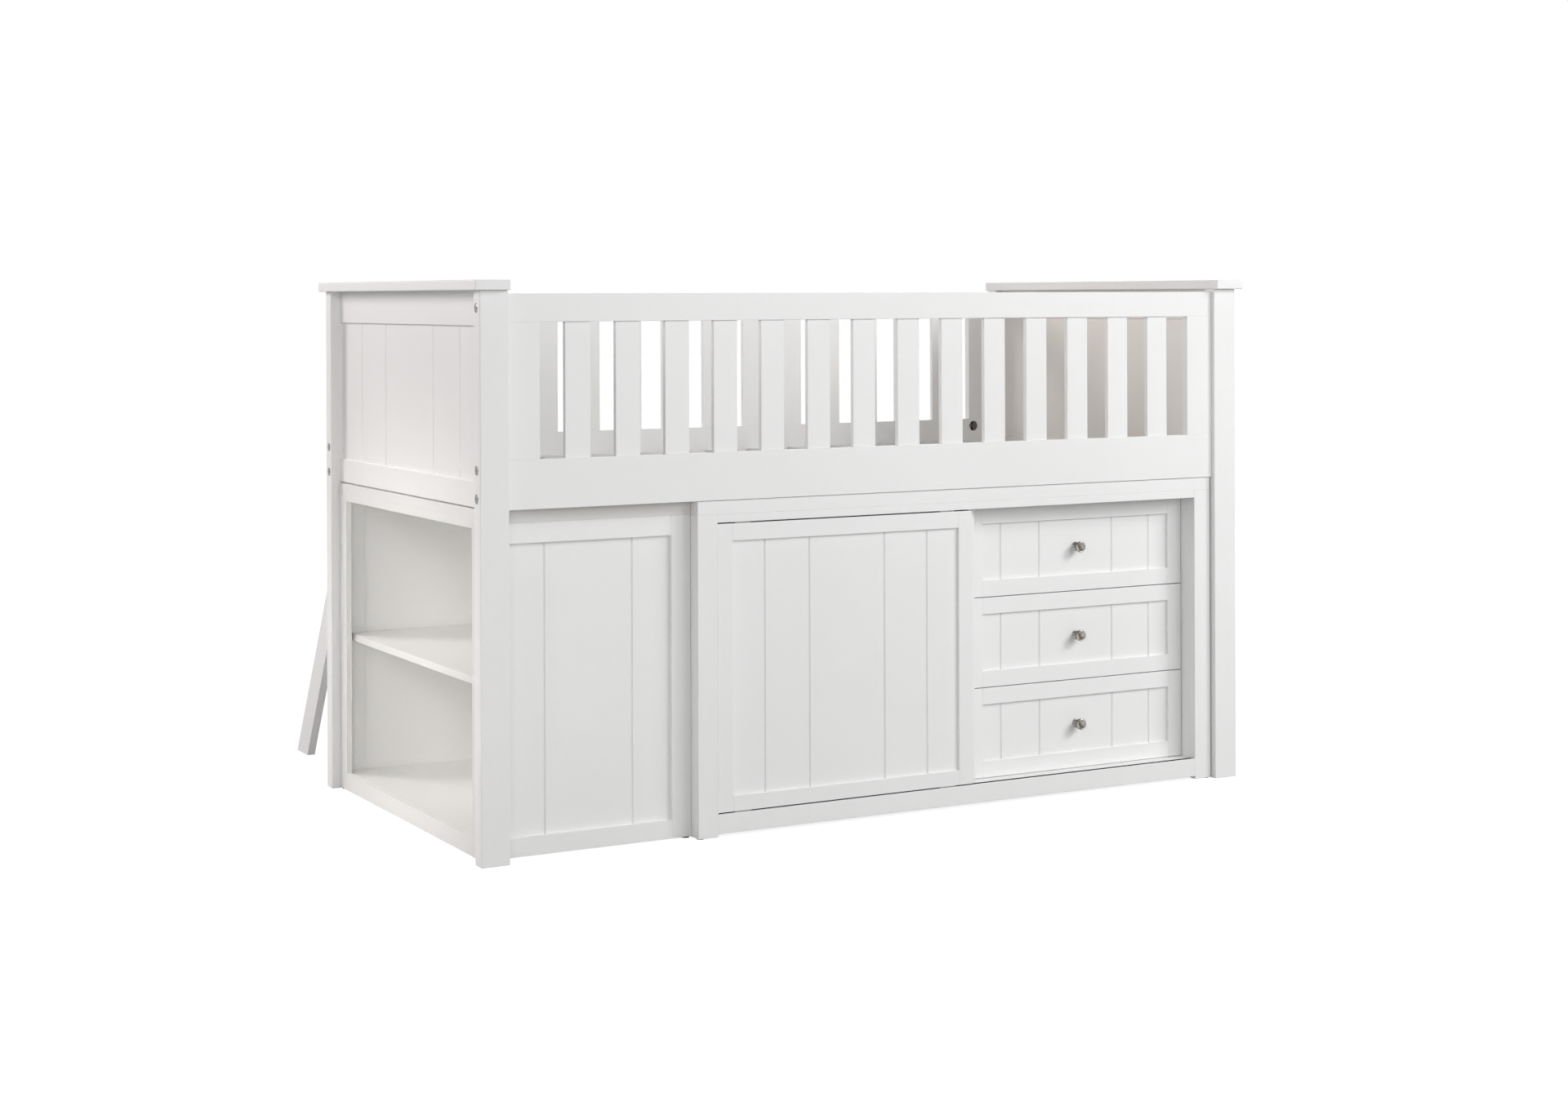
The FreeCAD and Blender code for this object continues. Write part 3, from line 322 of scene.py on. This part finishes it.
# Each lamp's place, width, watts and colour, and for a narrow one its aim and spread.
LAMPS = {
    "key_right": ((4.0, -4.0, 3.5), 2.0, 160, NEUTRAL),
    "near_right": ((1.4, -4.3, 2.2), 1.8, 28, NEUTRAL),
    "front_right": ((3.0, -6.5, 2.6), 2.4, 45, NEUTRAL),
    "front_high": ((2.0, -5.5, 4.5), 2.2, 11, NEUTRAL),
    "front_left": ((-3.8, -6.5, 1.6), 2.4, 92, NEUTRAL),
    "left_top": ((-6.0, -4.5, 4.2), 2.5, 49, NEUTRAL),
    "left_high": ((-3.4, -0.6, 2.3), 1.2, 12, WARM),
    "behind_left": ((-3.8, 3.4, 2.6), 2.0, 112, WARM),
    "behind_near": ((-2.8, 3.3, 2.7), 1.2, 18, WARM),
    "behind_right": ((3.5, 5.0, 3.5), 2.5, 85, NEUTRAL),
    "into_bookcase_low": ((-4.6, -2.2, 0.75), 0.5, 0.44, HONEY, (-0.98, -0.24, 0.38), 15),
    "into_bookcase_high": ((-2.7, -0.45, 1.45), 0.8, 0.78, HONEY, (-0.90, -0.24, 0.24), 22),
    "into_bed": ((-0.2, -0.2, 2.3), 0.5, 0.09, AMBER, (1.0, -0.1, 0.90), 40),
}
for name, settings in LAMPS.items():
    lamp(name, *settings)

# %% [markdown]
# ## White paint
#
# The bed is pine and board under a satin lacquer. Sprayed lacquer is never
# perfectly flat: it dries with a fine orange peel about a millimetre across,
# and over a metre its thickness drifts, which shows as a faint change of tone
# and of gloss.
#
# The bookcase is brighter inside, and that is painted light: the boards there get a whiter colour than the
# lacquer, standing in for the light inside the case. Its frames keep the lacquer outside and take this
# painted light inside, so their colour is chosen by the point's place: inside the case or not. The shelf's
# front edge carries a greyer band, which is painted shade, and the bed's side of the right-hand end is a
# little warmer, which is painted warm light. The left end and the bookcase's face frame and top get greyer
# copies of the white, also painted shade.

# %% Where a second colour goes
# These masks place painted light: the whiter inside of the bookcase and the warmer bed side of the far
# end.
CASE_MARGIN = 0.004
FACE_PAINT_DEPTH = 0.0015


def halfway(first, second):
    return (first + second) / 2


case_low, case_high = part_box("bookcase_back")
CASE_MIDDLE = halfway(case_low.y, case_high.y)
CASE_HALF = (case_high.y - case_low.y) / 2 + CASE_MARGIN
CASE_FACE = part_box("bookcase_face_frame")[0].x + FACE_PAINT_DEPTH


def in_bookcase(place, face):
    """1 at points inside the bookcase and behind a face, 0 at others."""
    return (abs(place.axis("Y") - CASE_MIDDLE) < CASE_HALF) * (place.axis("X") > face)


def facing_bed(place, face):
    """1 at points on the bed's side of a face, 0 at others."""
    return place.axis("X") < face


print("film inside the bookcase: behind x =", round(CASE_FACE, 4))

# %% White paint
WHITE = (0.88, 0.88, 0.875)
PAINT_ROUGHNESS = (0.38, 0.46)


def darkened(colour, share):
    return tuple(share * channel for channel in colour)


def white_paint(name, colour=WHITE, second=None, where=in_bookcase, face=0.0):
    """Satin lacquer, with a second colour at the points that a mask picks."""
    finish = Finish(name, Specular_IOR_Level=0.45)
    place = finish.place()
    drift = finish.noise(place, scale=2.2, detail=3.0)
    mottle = finish.noise(place, scale=38.0, detail=3.0, roughness=0.6)
    peel = finish.noise(place, scale=620.0)
    tone = finish.mix(drift.with_some(0.2, mottle).fit(0.35, 0.65), darkened(colour, share=0.982), colour)
    # The second colour is painted light, laid on where the mask picks.
    if second:
        tone = finish.mix(where(place, face), tone, second)
    finish.wire(
        Base_Color=tone,
        Roughness=drift.with_some(0.4, mottle).vary(*PAINT_ROUGHNESS),
        Normal=finish.bump(peel.with_some(0.2, mottle), distance=0.0003, strength=0.2),
    )
    print("finish:", name)
    return finish.material


# %% Painted finishes
# Each colour below is painted light or shade on the one white lacquer: the greyer ones are painted shade,
# the whiter and the warmer ones painted light.
END_PAINTED_SHADE = (0.86, 0.855, 0.85)
WARM_PAINTED_LIGHT = (0.87, 0.84, 0.805)
FACE_PAINTED_SHADE = (0.78, 0.775, 0.765)
PAINTED_LIGHT_WHITE = (0.95, 0.945, 0.93)
EDGE_PAINTED_SHADE = (0.70, 0.70, 0.69)
EDGE_PAINTED_SHADE_DEPTH = 0.001

panel_low, panel_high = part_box("end_panel_right")
PANEL_MIDDLE = halfway(panel_low.x, panel_high.x)
SHELF_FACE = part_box("bookcase_shelf")[0].x + EDGE_PAINTED_SHADE_DEPTH

paints = {"white_paint": white_paint("white_paint")}
# The left end: a greyer, slightly warm copy of the white, painted shade.
end_painted_shade = white_paint("white_paint_ends_painted_shade", END_PAINTED_SHADE)
# The far end: the white, with a warmer colour on its bed side, painted warm light.
far_end_painted_warmth = white_paint("white_paint_far_end_painted_warmth", second=WARM_PAINTED_LIGHT, where=facing_bed, face=PANEL_MIDDLE)
# A whiter white for the inside of the bookcase: painted light.
painted_light = white_paint("white_painted_light", PAINTED_LIGHT_WHITE)
# The bookcase's side frames and panels: lacquer outside, painted light inside.
case_paint_and_painted_light = white_paint("white_paint_and_painted_light", second=PAINTED_LIGHT_WHITE, face=CASE_FACE)
# The face frame and top: a greyer white outside, painted shade, and painted light inside.
face_painted_shade_and_light = white_paint("painted_shade_face_and_painted_light", FACE_PAINTED_SHADE, second=PAINTED_LIGHT_WHITE, face=CASE_FACE)
# The shelf: a greyer front edge, painted shade, and painted light behind it.
shelf_painted_light_and_shade = white_paint("painted_light_and_painted_shade_edge", EDGE_PAINTED_SHADE, second=PAINTED_LIGHT_WHITE, face=SHELF_FACE)

# %% [markdown]
# ## Bare pine
#
# The cleats under the bed base and the drawer boxes are left as planed pine. The
# figure is stretched noise: rings cut lengthwise give long soft bands, and
# finer fibres lie along them. A board's grain runs its own length, so in the
# side walls of a drawer, X and Y change places before the noise is read.

# %% Bare pine
DRAWER_WALL = 0.012
FACE_MARGIN = 0.0005
LIGHT_BAND = (0.72, 0.56, 0.37)
DARK_BAND = (0.62, 0.43, 0.25)
FIBRE = (0.77, 0.62, 0.43)
PALE_BOARD = (0.78, 0.63, 0.44)
RING_STRETCH = (1.2, 26, 26)
FIBRE_STRETCH = (9, 416, 416)
RING_COUNT = 42.0
PINE_ROUGHNESS = (0.52, 0.68)


def turned_grain(place, box):
    """A drawer box's places, with X and Y changed over in its side walls."""
    low, high = box
    inner_half = (high.x - low.x) / 2 - (DRAWER_WALL + FACE_MARGIN)
    x, y, z = (place.axis(letter) for letter in "XYZ")
    side = abs(x - halfway(low.x, high.x)) > inner_half
    turned = {"X": x + side * (y - x), "Y": y + side * (x - y), "Z": z}
    return place.shading.add("CombineXYZ", {}, turned)


def bare_pine(name, box=None):
    """Pine with its grain along X, or along Y in the side walls of a drawer's box."""
    finish = Finish(name, Specular_IOR_Level=0.3)
    place = finish.place()
    if box:
        place = turned_grain(place, box)
    rings = finish.noise(finish.stretch(place, RING_STRETCH), detail=4.0, roughness=0.55)
    fibres = finish.noise(finish.stretch(place, FIBRE_STRETCH), detail=3.0, roughness=0.6)
    boards = finish.noise(place, scale=1.7, detail=1.0)
    bands = rings.maths("SINE", rings * RING_COUNT) * 0.5 + 0.5
    wood = finish.mix(bands.fit(0.35, 0.95), LIGHT_BAND, DARK_BAND)
    wood = finish.mix(fibres.fit(0.35, 0.75, 0.0, 0.45), wood, FIBRE)
    wood = finish.mix(boards.vary(0.0, 0.35), wood, PALE_BOARD)
    finish.wire(
        Base_Color=wood,
        Roughness=fibres.vary(*PINE_ROUGHNESS),
        Normal=finish.bump(fibres.with_some(0.4, bands), distance=0.0003, strength=0.5),
    )
    print("finish:", name)
    return finish.material


paints["bare_wood"] = bare_pine("bare_pine")
box_pine = bare_pine("bare_pine_box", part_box("drawer_top_box"))

# %% [markdown]
# ## Metals and plastics
#
# Zinc plate has a faint crystal pattern, so its gloss varies from patch to patch. The bolts are darker
# steel, and the nuts darker still, as painted shade for the holes in the rails that they sit in. The knobs
# are brushed nickel.
# The glides and the door's channels are plastic with a fine moulded grain. A
# metal's colour belongs on the shader with Metallic at 1, because a metal has
# no paint under its shine.

# %% Metals
STREAK = 6


def metal(name, colour, roughness, scale):
    """Plated or brushed metal, with so many patches to the metre and scratches along Y."""
    finish = Finish(name, Metallic=1.0)
    place = finish.place()
    patches = finish.noise(place, scale, detail=3.0, roughness=0.6)
    scratches = finish.noise(finish.stretch(place, (scale * STREAK, scale, scale * STREAK)))
    gloss = patches.with_some(0.4, scratches)
    finish.wire(
        Base_Color=finish.mix(patches.vary(), darkened(colour, share=0.8), colour),
        Roughness=gloss.vary(roughness * 0.8, roughness * 1.25),
        Normal=finish.bump(scratches, distance=0.0001, strength=0.4),
    )
    print("finish:", name)
    return finish.material


PLATE_PATCHES = 240.0
BRUSHED_PATCHES = 300.0
paints["zinc_steel"] = metal("zinc_plate", (0.56, 0.57, 0.58), roughness=0.32, scale=PLATE_PATCHES)
paints["knob_nickel"] = metal("brushed_nickel", (0.50, 0.48, 0.45), roughness=0.24, scale=BRUSHED_PATCHES)
bolt_steel = metal("bolt_steel", (0.30, 0.30, 0.305), roughness=0.28, scale=PLATE_PATCHES)
# The nuts' dark colour is painted shade for the holes they sit in.
nut_steel_painted_shade = metal("nut_steel_painted_shade", (0.16, 0.15, 0.145), roughness=0.36, scale=PLATE_PATCHES)

# %% Plastics
def plastic(name, colour, roughness):
    """Moulded plastic with a fine grain."""
    finish = Finish(name, Specular_IOR_Level=0.4)
    place = finish.place()
    grain = finish.noise(place, scale=1500.0)
    cloud = finish.noise(place, scale=60.0)
    finish.wire(
        Base_Color=finish.mix(cloud.fit(0.35, 0.65), darkened(colour, share=0.88), colour),
        Roughness=grain.vary(roughness * 0.85, roughness * 1.15),
        Normal=finish.bump(grain, distance=0.0002, strength=0.5),
    )
    print("finish:", name)
    return finish.material


paints["dark_plastic"] = plastic("dark_plastic", (0.03, 0.028, 0.026), roughness=0.5)
paints["white_plastic"] = plastic("white_plastic", (0.78, 0.78, 0.77), roughness=0.42)

# %% [markdown]
# ## Finishes on the CAD nodes
#
# The CAD record names a kind of material for each node, and the paints are kept under those names. The few
# nodes below have a finish of their own instead. Most of these finishes carry painted light or shade:
# greyer whites as painted shade on the left end, the bookcase front and the shelf's edge, a whiter inside
# of the bookcase and a warmer inside of the far end as painted light, and darker nuts as painted shade.

# %% Put the finishes on the CAD nodes
OTHER_FINISH = {
    "frame_nuts": nut_steel_painted_shade,
    "drawer_top_box": box_pine,
    "drawer_middle_box": box_pine,
    "drawer_bottom_box": box_pine,
    "end_panel_left": end_painted_shade,
    "end_rails_left": end_painted_shade,
    "end_panel_right": far_end_painted_warmth,
    "end_rails_right": far_end_painted_warmth,
    "bookcase_shelf": shelf_painted_light_and_shade,
    "bookcase_base": painted_light,
    "bookcase_back": painted_light,
    "bookcase_face_frame": face_painted_shade_and_light,
    "bookcase_side_frames": case_paint_and_painted_light,
    "bookcase_side_panels": case_paint_and_painted_light,
    "bookcase_top": face_painted_shade_and_light,
}
for entry in frame["record"]["subparts"]:
    name, slot = entry["node"], entry["material_slot"]
    data = nodes[name].data
    data.materials.clear()
    data.materials.append(OTHER_FINISH.get(name, paints[slot]))
print("finishes in use:", sorted({node.data.materials[0].name for node in nodes.values()}))

# %% [markdown]
# ## Turned and threaded pieces
#
# Knobs, bolts and screws are all round, so each is a profile spun about its
# own axis. A profile is a list of (radius, height) pairs in millimetres. It
# starts and ends on the axis, or comes back to where it started, so the spun
# shape is closed. After the spin, one ring of points can be pushed from a circle
# to another outline: a hexagon for a bolt's socket, a cross for a screw's.

# %% Spin a profile
MM = 0.001
SAME_POINT = 1e-6


def spun(profile, steps, scale=MM, turn=0.0):
    """A closed bmesh round +Z, from a profile."""
    mesh = bmesh.new()
    start = Matrix.Rotation(turn, 3, "Z")
    points = [
        mesh.verts.new(start @ Vector((radius * scale, 0, height * scale)))
        for radius, height in profile
    ]
    edges = [mesh.edges.new(pair) for pair in zip(points, points[1:])]
    bmesh.ops.spin(
        mesh, geom=points + edges, cent=(0, 0, 0), axis=(0, 0, 1),
        angle=2 * math.pi, steps=steps, use_merge=True,
    )
    bmesh.ops.remove_doubles(mesh, verts=mesh.verts, dist=SAME_POINT)
    bmesh.ops.recalc_face_normals(mesh, faces=mesh.faces)
    print("spun points:", len(mesh.verts))
    return mesh


# %% Make a piece
CREASE = math.radians(32)


def piece(name, mesh, body, finish):
    """Turn a bmesh into a shown piece that rides on a body."""
    for face in mesh.faces:
        face.smooth = True
    for edge in mesh.edges:
        edge.smooth = edge.is_manifold and edge.calc_face_angle() < CREASE
    data = bpy.data.meshes.new(name)
    mesh.to_mesh(data)
    mesh.free()
    data.materials.append(finish)
    thing = bpy.data.objects.new(name, data)
    scene.collection.objects.link(thing)
    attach(thing, body)
    print(name, "faces:", len(data.polygons))
    return thing


def gathered(name, template, places, body, finish):
    """One piece from copies of a template, each with its head at a place and facing a way."""
    mesh = bmesh.new()
    shape = bpy.data.meshes.new("template")
    template.to_mesh(shape)
    for place, facing in places:
        copy = shape.copy()
        turn = Vector(facing).to_track_quat("Z", "Y").to_matrix().to_4x4()
        copy.transform(Matrix.Translation(place) @ turn)
        mesh.from_mesh(copy)
        bpy.data.meshes.remove(copy)
    bpy.data.meshes.remove(shape)
    return piece(name, mesh, body, finish)


# %% [markdown]
# ## The drawer knobs
#
# A turned knob has a flange that hides the screw hole, a waisted neck, and a
# flat head with a rolled rim and a very shallow dome. The lathe leaves rings
# round the axis, so the brushing is noise that reads only the distance from it
# and the depth along it.

# %% Turned nickel
DARK_NICKEL = (0.10, 0.09, 0.08)
PALE_NICKEL = (0.42, 0.40, 0.37)
RINGS_OUTWARDS = 5200.0
RINGS_ALONG = 4100.0
KNOB_ROUGHNESS = (0.11, 0.24)


def turned_nickel(name, centre):
    """Nickel with rings round the Y axis through a centre."""
    finish = Finish(name, Metallic=1.0)
    local = finish.add("Mapping", {}, {"Vector": finish.place(), "Location": tuple(-centre)})
    flat = finish.add("VectorMath", {"operation": "MULTIPLY"}, {0: local, 1: (1, 0, 1)})
    radius = finish.add("VectorMath", {"operation": "LENGTH"}, {0: flat}, "Value")
    across = radius * RINGS_OUTWARDS + local.axis("Y") * RINGS_ALONG
    rings = finish.add("TexNoise", {"noise_dimensions": "1D"}, {"W": across, "Detail": 2.0})
    patches = finish.noise(local, scale=90.0, detail=3.0)
    finish.wire(
        Base_Color=finish.mix(patches.vary(), DARK_NICKEL, PALE_NICKEL),
        Roughness=rings.with_some(0.3, patches).vary(*KNOB_ROUGHNESS),
        Normal=finish.bump(rings, distance=0.00008, strength=0.35),
    )
    print("finish:", name)
    return finish.material


# %% The drawer knobs
DRAWERS = ("top", "middle", "bottom")
FORWARD = (0, -1, 0)
KNOB_STEPS = 48
KNOB_PROFILE = [
    (0.0, 0.0), (10.6, 0.0), (11.0, 0.4), (11.0, 1.6), (10.6, 2.2), (9.6, 2.7), (8.2, 3.6),
    (7.0, 5.2), (6.3, 7.4), (6.0, 10.0), (6.1, 12.4), (6.8, 14.6), (8.4, 16.4), (10.6, 17.6),
    (12.5, 18.4), (13.3, 19.3), (13.5, 20.4), (13.5, 22.4), (13.2, 23.5), (12.6, 24.2),
    (11.9, 24.5), (11.3, 24.4), (10.9, 24.15), (10.2, 24.1), (7.0, 24.5), (3.5, 24.85), (0.0, 25.0),
]
KNOB_HEIGHT = KNOB_PROFILE[-1][1]

for level_name in DRAWERS:
    node_name = f"drawer_{level_name}_knob"
    low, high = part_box(node_name)
    seat = Vector((halfway(low.x, high.x), high.y, halfway(low.z, high.z)))
    knob_mesh = spun(KNOB_PROFILE, KNOB_STEPS, scale=(high.y - low.y) / KNOB_HEIGHT)
    knob = gathered(
        f"knob_{level_name}", knob_mesh, [(seat, FORWARD)], f"drawer_{level_name}",
        turned_nickel(f"nickel_{level_name}", seat),
    )
    knob_mesh.free()
    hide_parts(node_name)

# %% [markdown]
# ## The connector bolts
#
# Each post is drawn to its rails by bolts whose flat heads sit in counterbored holes, half a millimetre
# below the post's face: two for a side rail and one for the guard's top rail. The back guard stops short
# of the left end, so that corner has no upper bolt. The heads have hexagon sockets. A dark ring in each
# hole is painted shade: it stands for the shadow in the gap round the head. The eleven bolts are one
# piece, and so are their shade rings.

# %% Where the bolts go
HEAD_FACE = 0.9995
BOLT_HEIGHTS = [0.769, 0.829, 1.170]
BOLT_ROWS = {}
for row_name in ("front", "back"):
    low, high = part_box(f"{row_name}_side_rail")
    BOLT_ROWS[row_name] = halfway(low.y, high.y)
NO_BOLT = (-1, "back", BOLT_HEIGHTS[-1])
bolt_places = [
    ((side * HEAD_FACE, row, height), (side, 0, 0))
    for side in (-1, 1)
    for row_name, row in BOLT_ROWS.items()
    for height in BOLT_HEIGHTS
    if (side, row_name, height) != NO_BOLT
]
print("bolts:", len(bolt_places))

# %% Outlines of sockets
RING_MARGIN = 1e-5
HEXAGON_HALF_WIDTH = 2.5 * MM


def from_spoke(angle, spokes):
    """How far an angle is from the nearest of some evenly spaced spokes."""
    gap = 2 * math.pi / spokes
    return (angle + gap / 2) % gap - gap / 2


def hexagon(angle):
    """The distance from the middle of a hexagon to its outline."""
    return HEXAGON_HALF_WIDTH / math.cos(from_spoke(angle, spokes=6))


def reshape(mesh, radius, outline):
    """Push every ring of one radius to the radius that outline gives for its angle."""
    for point in mesh.verts:
        if abs(point.co.xy.length - radius) < RING_MARGIN:
            wanted = outline(math.atan2(point.co.y, point.co.x))
            point.co.xy *= wanted / radius


print("hexagon, middle to corner:", round(hexagon(math.radians(30)) / MM, 2), "mm")

# %% The connector bolts and their painted shade rings
BOLT_STEPS = 24
BOLT_SOCKET = 2.6 * MM
BOLT_PROFILE = [
    (0.0, -1.4), (2.6, -1.4), (2.6, 0.0), (3.5, 0.0), (7.2, 0.0), (8.0, -0.25), (8.2, -0.8),
    (8.2, -2.0), (3.0, -2.0), (3.0, -141.5), (2.2, -142.5), (0.0, -142.5),
]
SHADE_RING_PROFILE = [(8.4, -0.5), (9.2, -0.3), (9.9, -0.4), (9.9, -1.95), (8.4, -1.95), (8.4, -0.5)]

bolt_mesh = spun(BOLT_PROFILE, BOLT_STEPS)
reshape(bolt_mesh, BOLT_SOCKET, hexagon)
bolts = gathered("connector_bolts", bolt_mesh, bolt_places, "bed", bolt_steel)
bolt_mesh.free()
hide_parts("frame_bolts")
# A dark ring in each counterbore, painted shade for the shadow in the gap round each head.
shade_ring_mesh = spun(SHADE_RING_PROFILE, BOLT_STEPS)
gathered("bolt_shade_rings", shade_ring_mesh, bolt_places, "bed", paints["dark_plastic"])
shade_ring_mesh.free()

# %% [markdown]
# ## Screws
#
# Screws hold the slats to their cleats, the cleats to the rails, the hooks to
# the ladder, the thin backs to their cases and the fronts to their drawers. A
# joiner would drive each by hand. Here one cross-headed screw is copied to
# every place.

# %% One screw
SCREW_STEPS = 16
SCREW_TURN = math.radians(11.25)
SCREW_PROFILE = [(0.0, -0.9), (1.9, -0.7), (1.9, 0.35), (2.4, 0.3), (3.3, 0.05), (3.6, -0.5), (0.0, -3.0)]
CROSS_TIP = 1.9 * MM
CROSS_CORNER = 0.8 * MM
ARM_HALF_ANGLE = math.radians(15)


def cross(angle):
    """The distance from the middle of a cross to its outline."""
    return CROSS_TIP if abs(from_spoke(angle, spokes=4)) < ARM_HALF_ANGLE else CROSS_CORNER


screw_mesh = spun(SCREW_PROFILE, SCREW_STEPS, turn=SCREW_TURN)
reshape(screw_mesh, CROSS_TIP, cross)

# %% Many places
def spread(start, end, count):
    """Evenly spaced values from start to end."""
    return [start + (end - start) * at / (count - 1) for at in range(count)]


def inset(start, end, gap):
    """The two values that lie a gap in from a start and an end."""
    return start + gap, end - gap


def screws(name, places, body):
    gathered(name, screw_mesh, places, body, paints["zinc_steel"])


print("three values from 0 to 1:", spread(0, 1, count=3))

# %% Screws of the bed
UP = (0, 0, 1)
BACKWARD = (0, 1, 0)
SLATS = 14
SLAT_WIDTH = 0.070
SLAT_SCREW_INSET = 0.010
CLEAT_DEPTH = 0.020
CLEAT_SCREWS = 8
CLEAT_SCREW_INSET = 0.05

slat_low, slat_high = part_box("base_slats")
cleat_low, cleat_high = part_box("slat_cleats")
bed_places = [
    ((x, y, slat_high.z), UP)
    for x in spread(*inset(slat_low.x, slat_high.x, SLAT_WIDTH / 2), SLATS)
    for y in inset(slat_low.y, slat_high.y, SLAT_SCREW_INSET)
]
front_cleat, back_cleat = inset(cleat_low.y, cleat_high.y, CLEAT_DEPTH)
cleat_middle = halfway(cleat_low.z, cleat_high.z)
for x in spread(*inset(cleat_low.x, cleat_high.x, CLEAT_SCREW_INSET), CLEAT_SCREWS):
    bed_places.append(((x, front_cleat, cleat_middle), BACKWARD))
    bed_places.append(((x, back_cleat, cleat_middle), FORWARD))
print("screws of the base:", len(bed_places))

# %% Screws of the ladder
LEFT = (-1, 0, 0)
RIGHT = (1, 0, 0)
HOOK_PLATE = 0.003
HOOK_SCREW_INSET = 0.014
HOOK_SCREW_RISES = (0.012, 0.048)

hook_low, hook_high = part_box("ladder_hooks")
left_hook, right_hook = inset(hook_low.x, hook_high.x, HOOK_PLATE)
for rise in HOOK_SCREW_RISES:
    bed_places.append(((left_hook, hook_high.y - HOOK_SCREW_INSET, hook_low.z + rise), RIGHT))
    bed_places.append(((right_hook, hook_high.y - HOOK_SCREW_INSET, hook_low.z + rise), LEFT))
screws("bed_screws", bed_places, "bed")

# %% Screws of the cabinet
BACK_SCREW_INSET = 0.012
CABINET_CORNER_GAP = 0.15

back_low, back_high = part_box("cabinet_back")
across = inset(back_low.x, back_high.x, BACK_SCREW_INSET)
upwards = inset(back_low.z, back_high.z, BACK_SCREW_INSET)
between = spread(*inset(back_low.z, back_high.z, CABINET_CORNER_GAP), count=3)
cabinet_places = [((x, back_high.y, z), BACKWARD) for x in spread(*across, count=9) for z in upwards]
cabinet_places += [((x, back_high.y, z), BACKWARD) for x in across for z in between]
screws("cabinet_screws", cabinet_places, "cabinet")

# %% Screws of the bookcase
BOOKCASE_CORNER_GAP = 0.22

case_low, case_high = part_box("bookcase_back")
across = inset(case_low.y, case_high.y, BACK_SCREW_INSET)
upwards = inset(case_low.z, case_high.z, BACK_SCREW_INSET)
between = spread(*inset(case_low.y, case_high.y, BOOKCASE_CORNER_GAP), count=3)
case_places = [((case_high.x, y, z), RIGHT) for y in across for z in spread(*upwards, count=5)]
case_places += [((case_high.x, y, z), RIGHT) for y in between for z in upwards]
screws("bookcase_screws", case_places, "bookcase")

# %% Screws inside the drawers
SIDE_GAP = 0.05
LOW_GAP = 0.04
HIGH_GAP = 0.03

for level_name in DRAWERS:
    low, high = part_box(f"drawer_{level_name}_box")
    inside = low.y + DRAWER_WALL
    spots = [(x, z) for x in inset(low.x, high.x, SIDE_GAP) for z in (low.z + LOW_GAP, high.z - HIGH_GAP)]
    spots.append((halfway(low.x, high.x), halfway(low.z, high.z)))
    places = [((x, inside, z), BACKWARD) for x, z in spots]
    screws(f"drawer_{level_name}_screws", places, f"drawer_{level_name}")
screw_mesh.free()

# %% [markdown]
# ## The end
#
# The Standard view shows colours as they are written.

# %% The end
scene.view_settings.view_transform = "Standard"
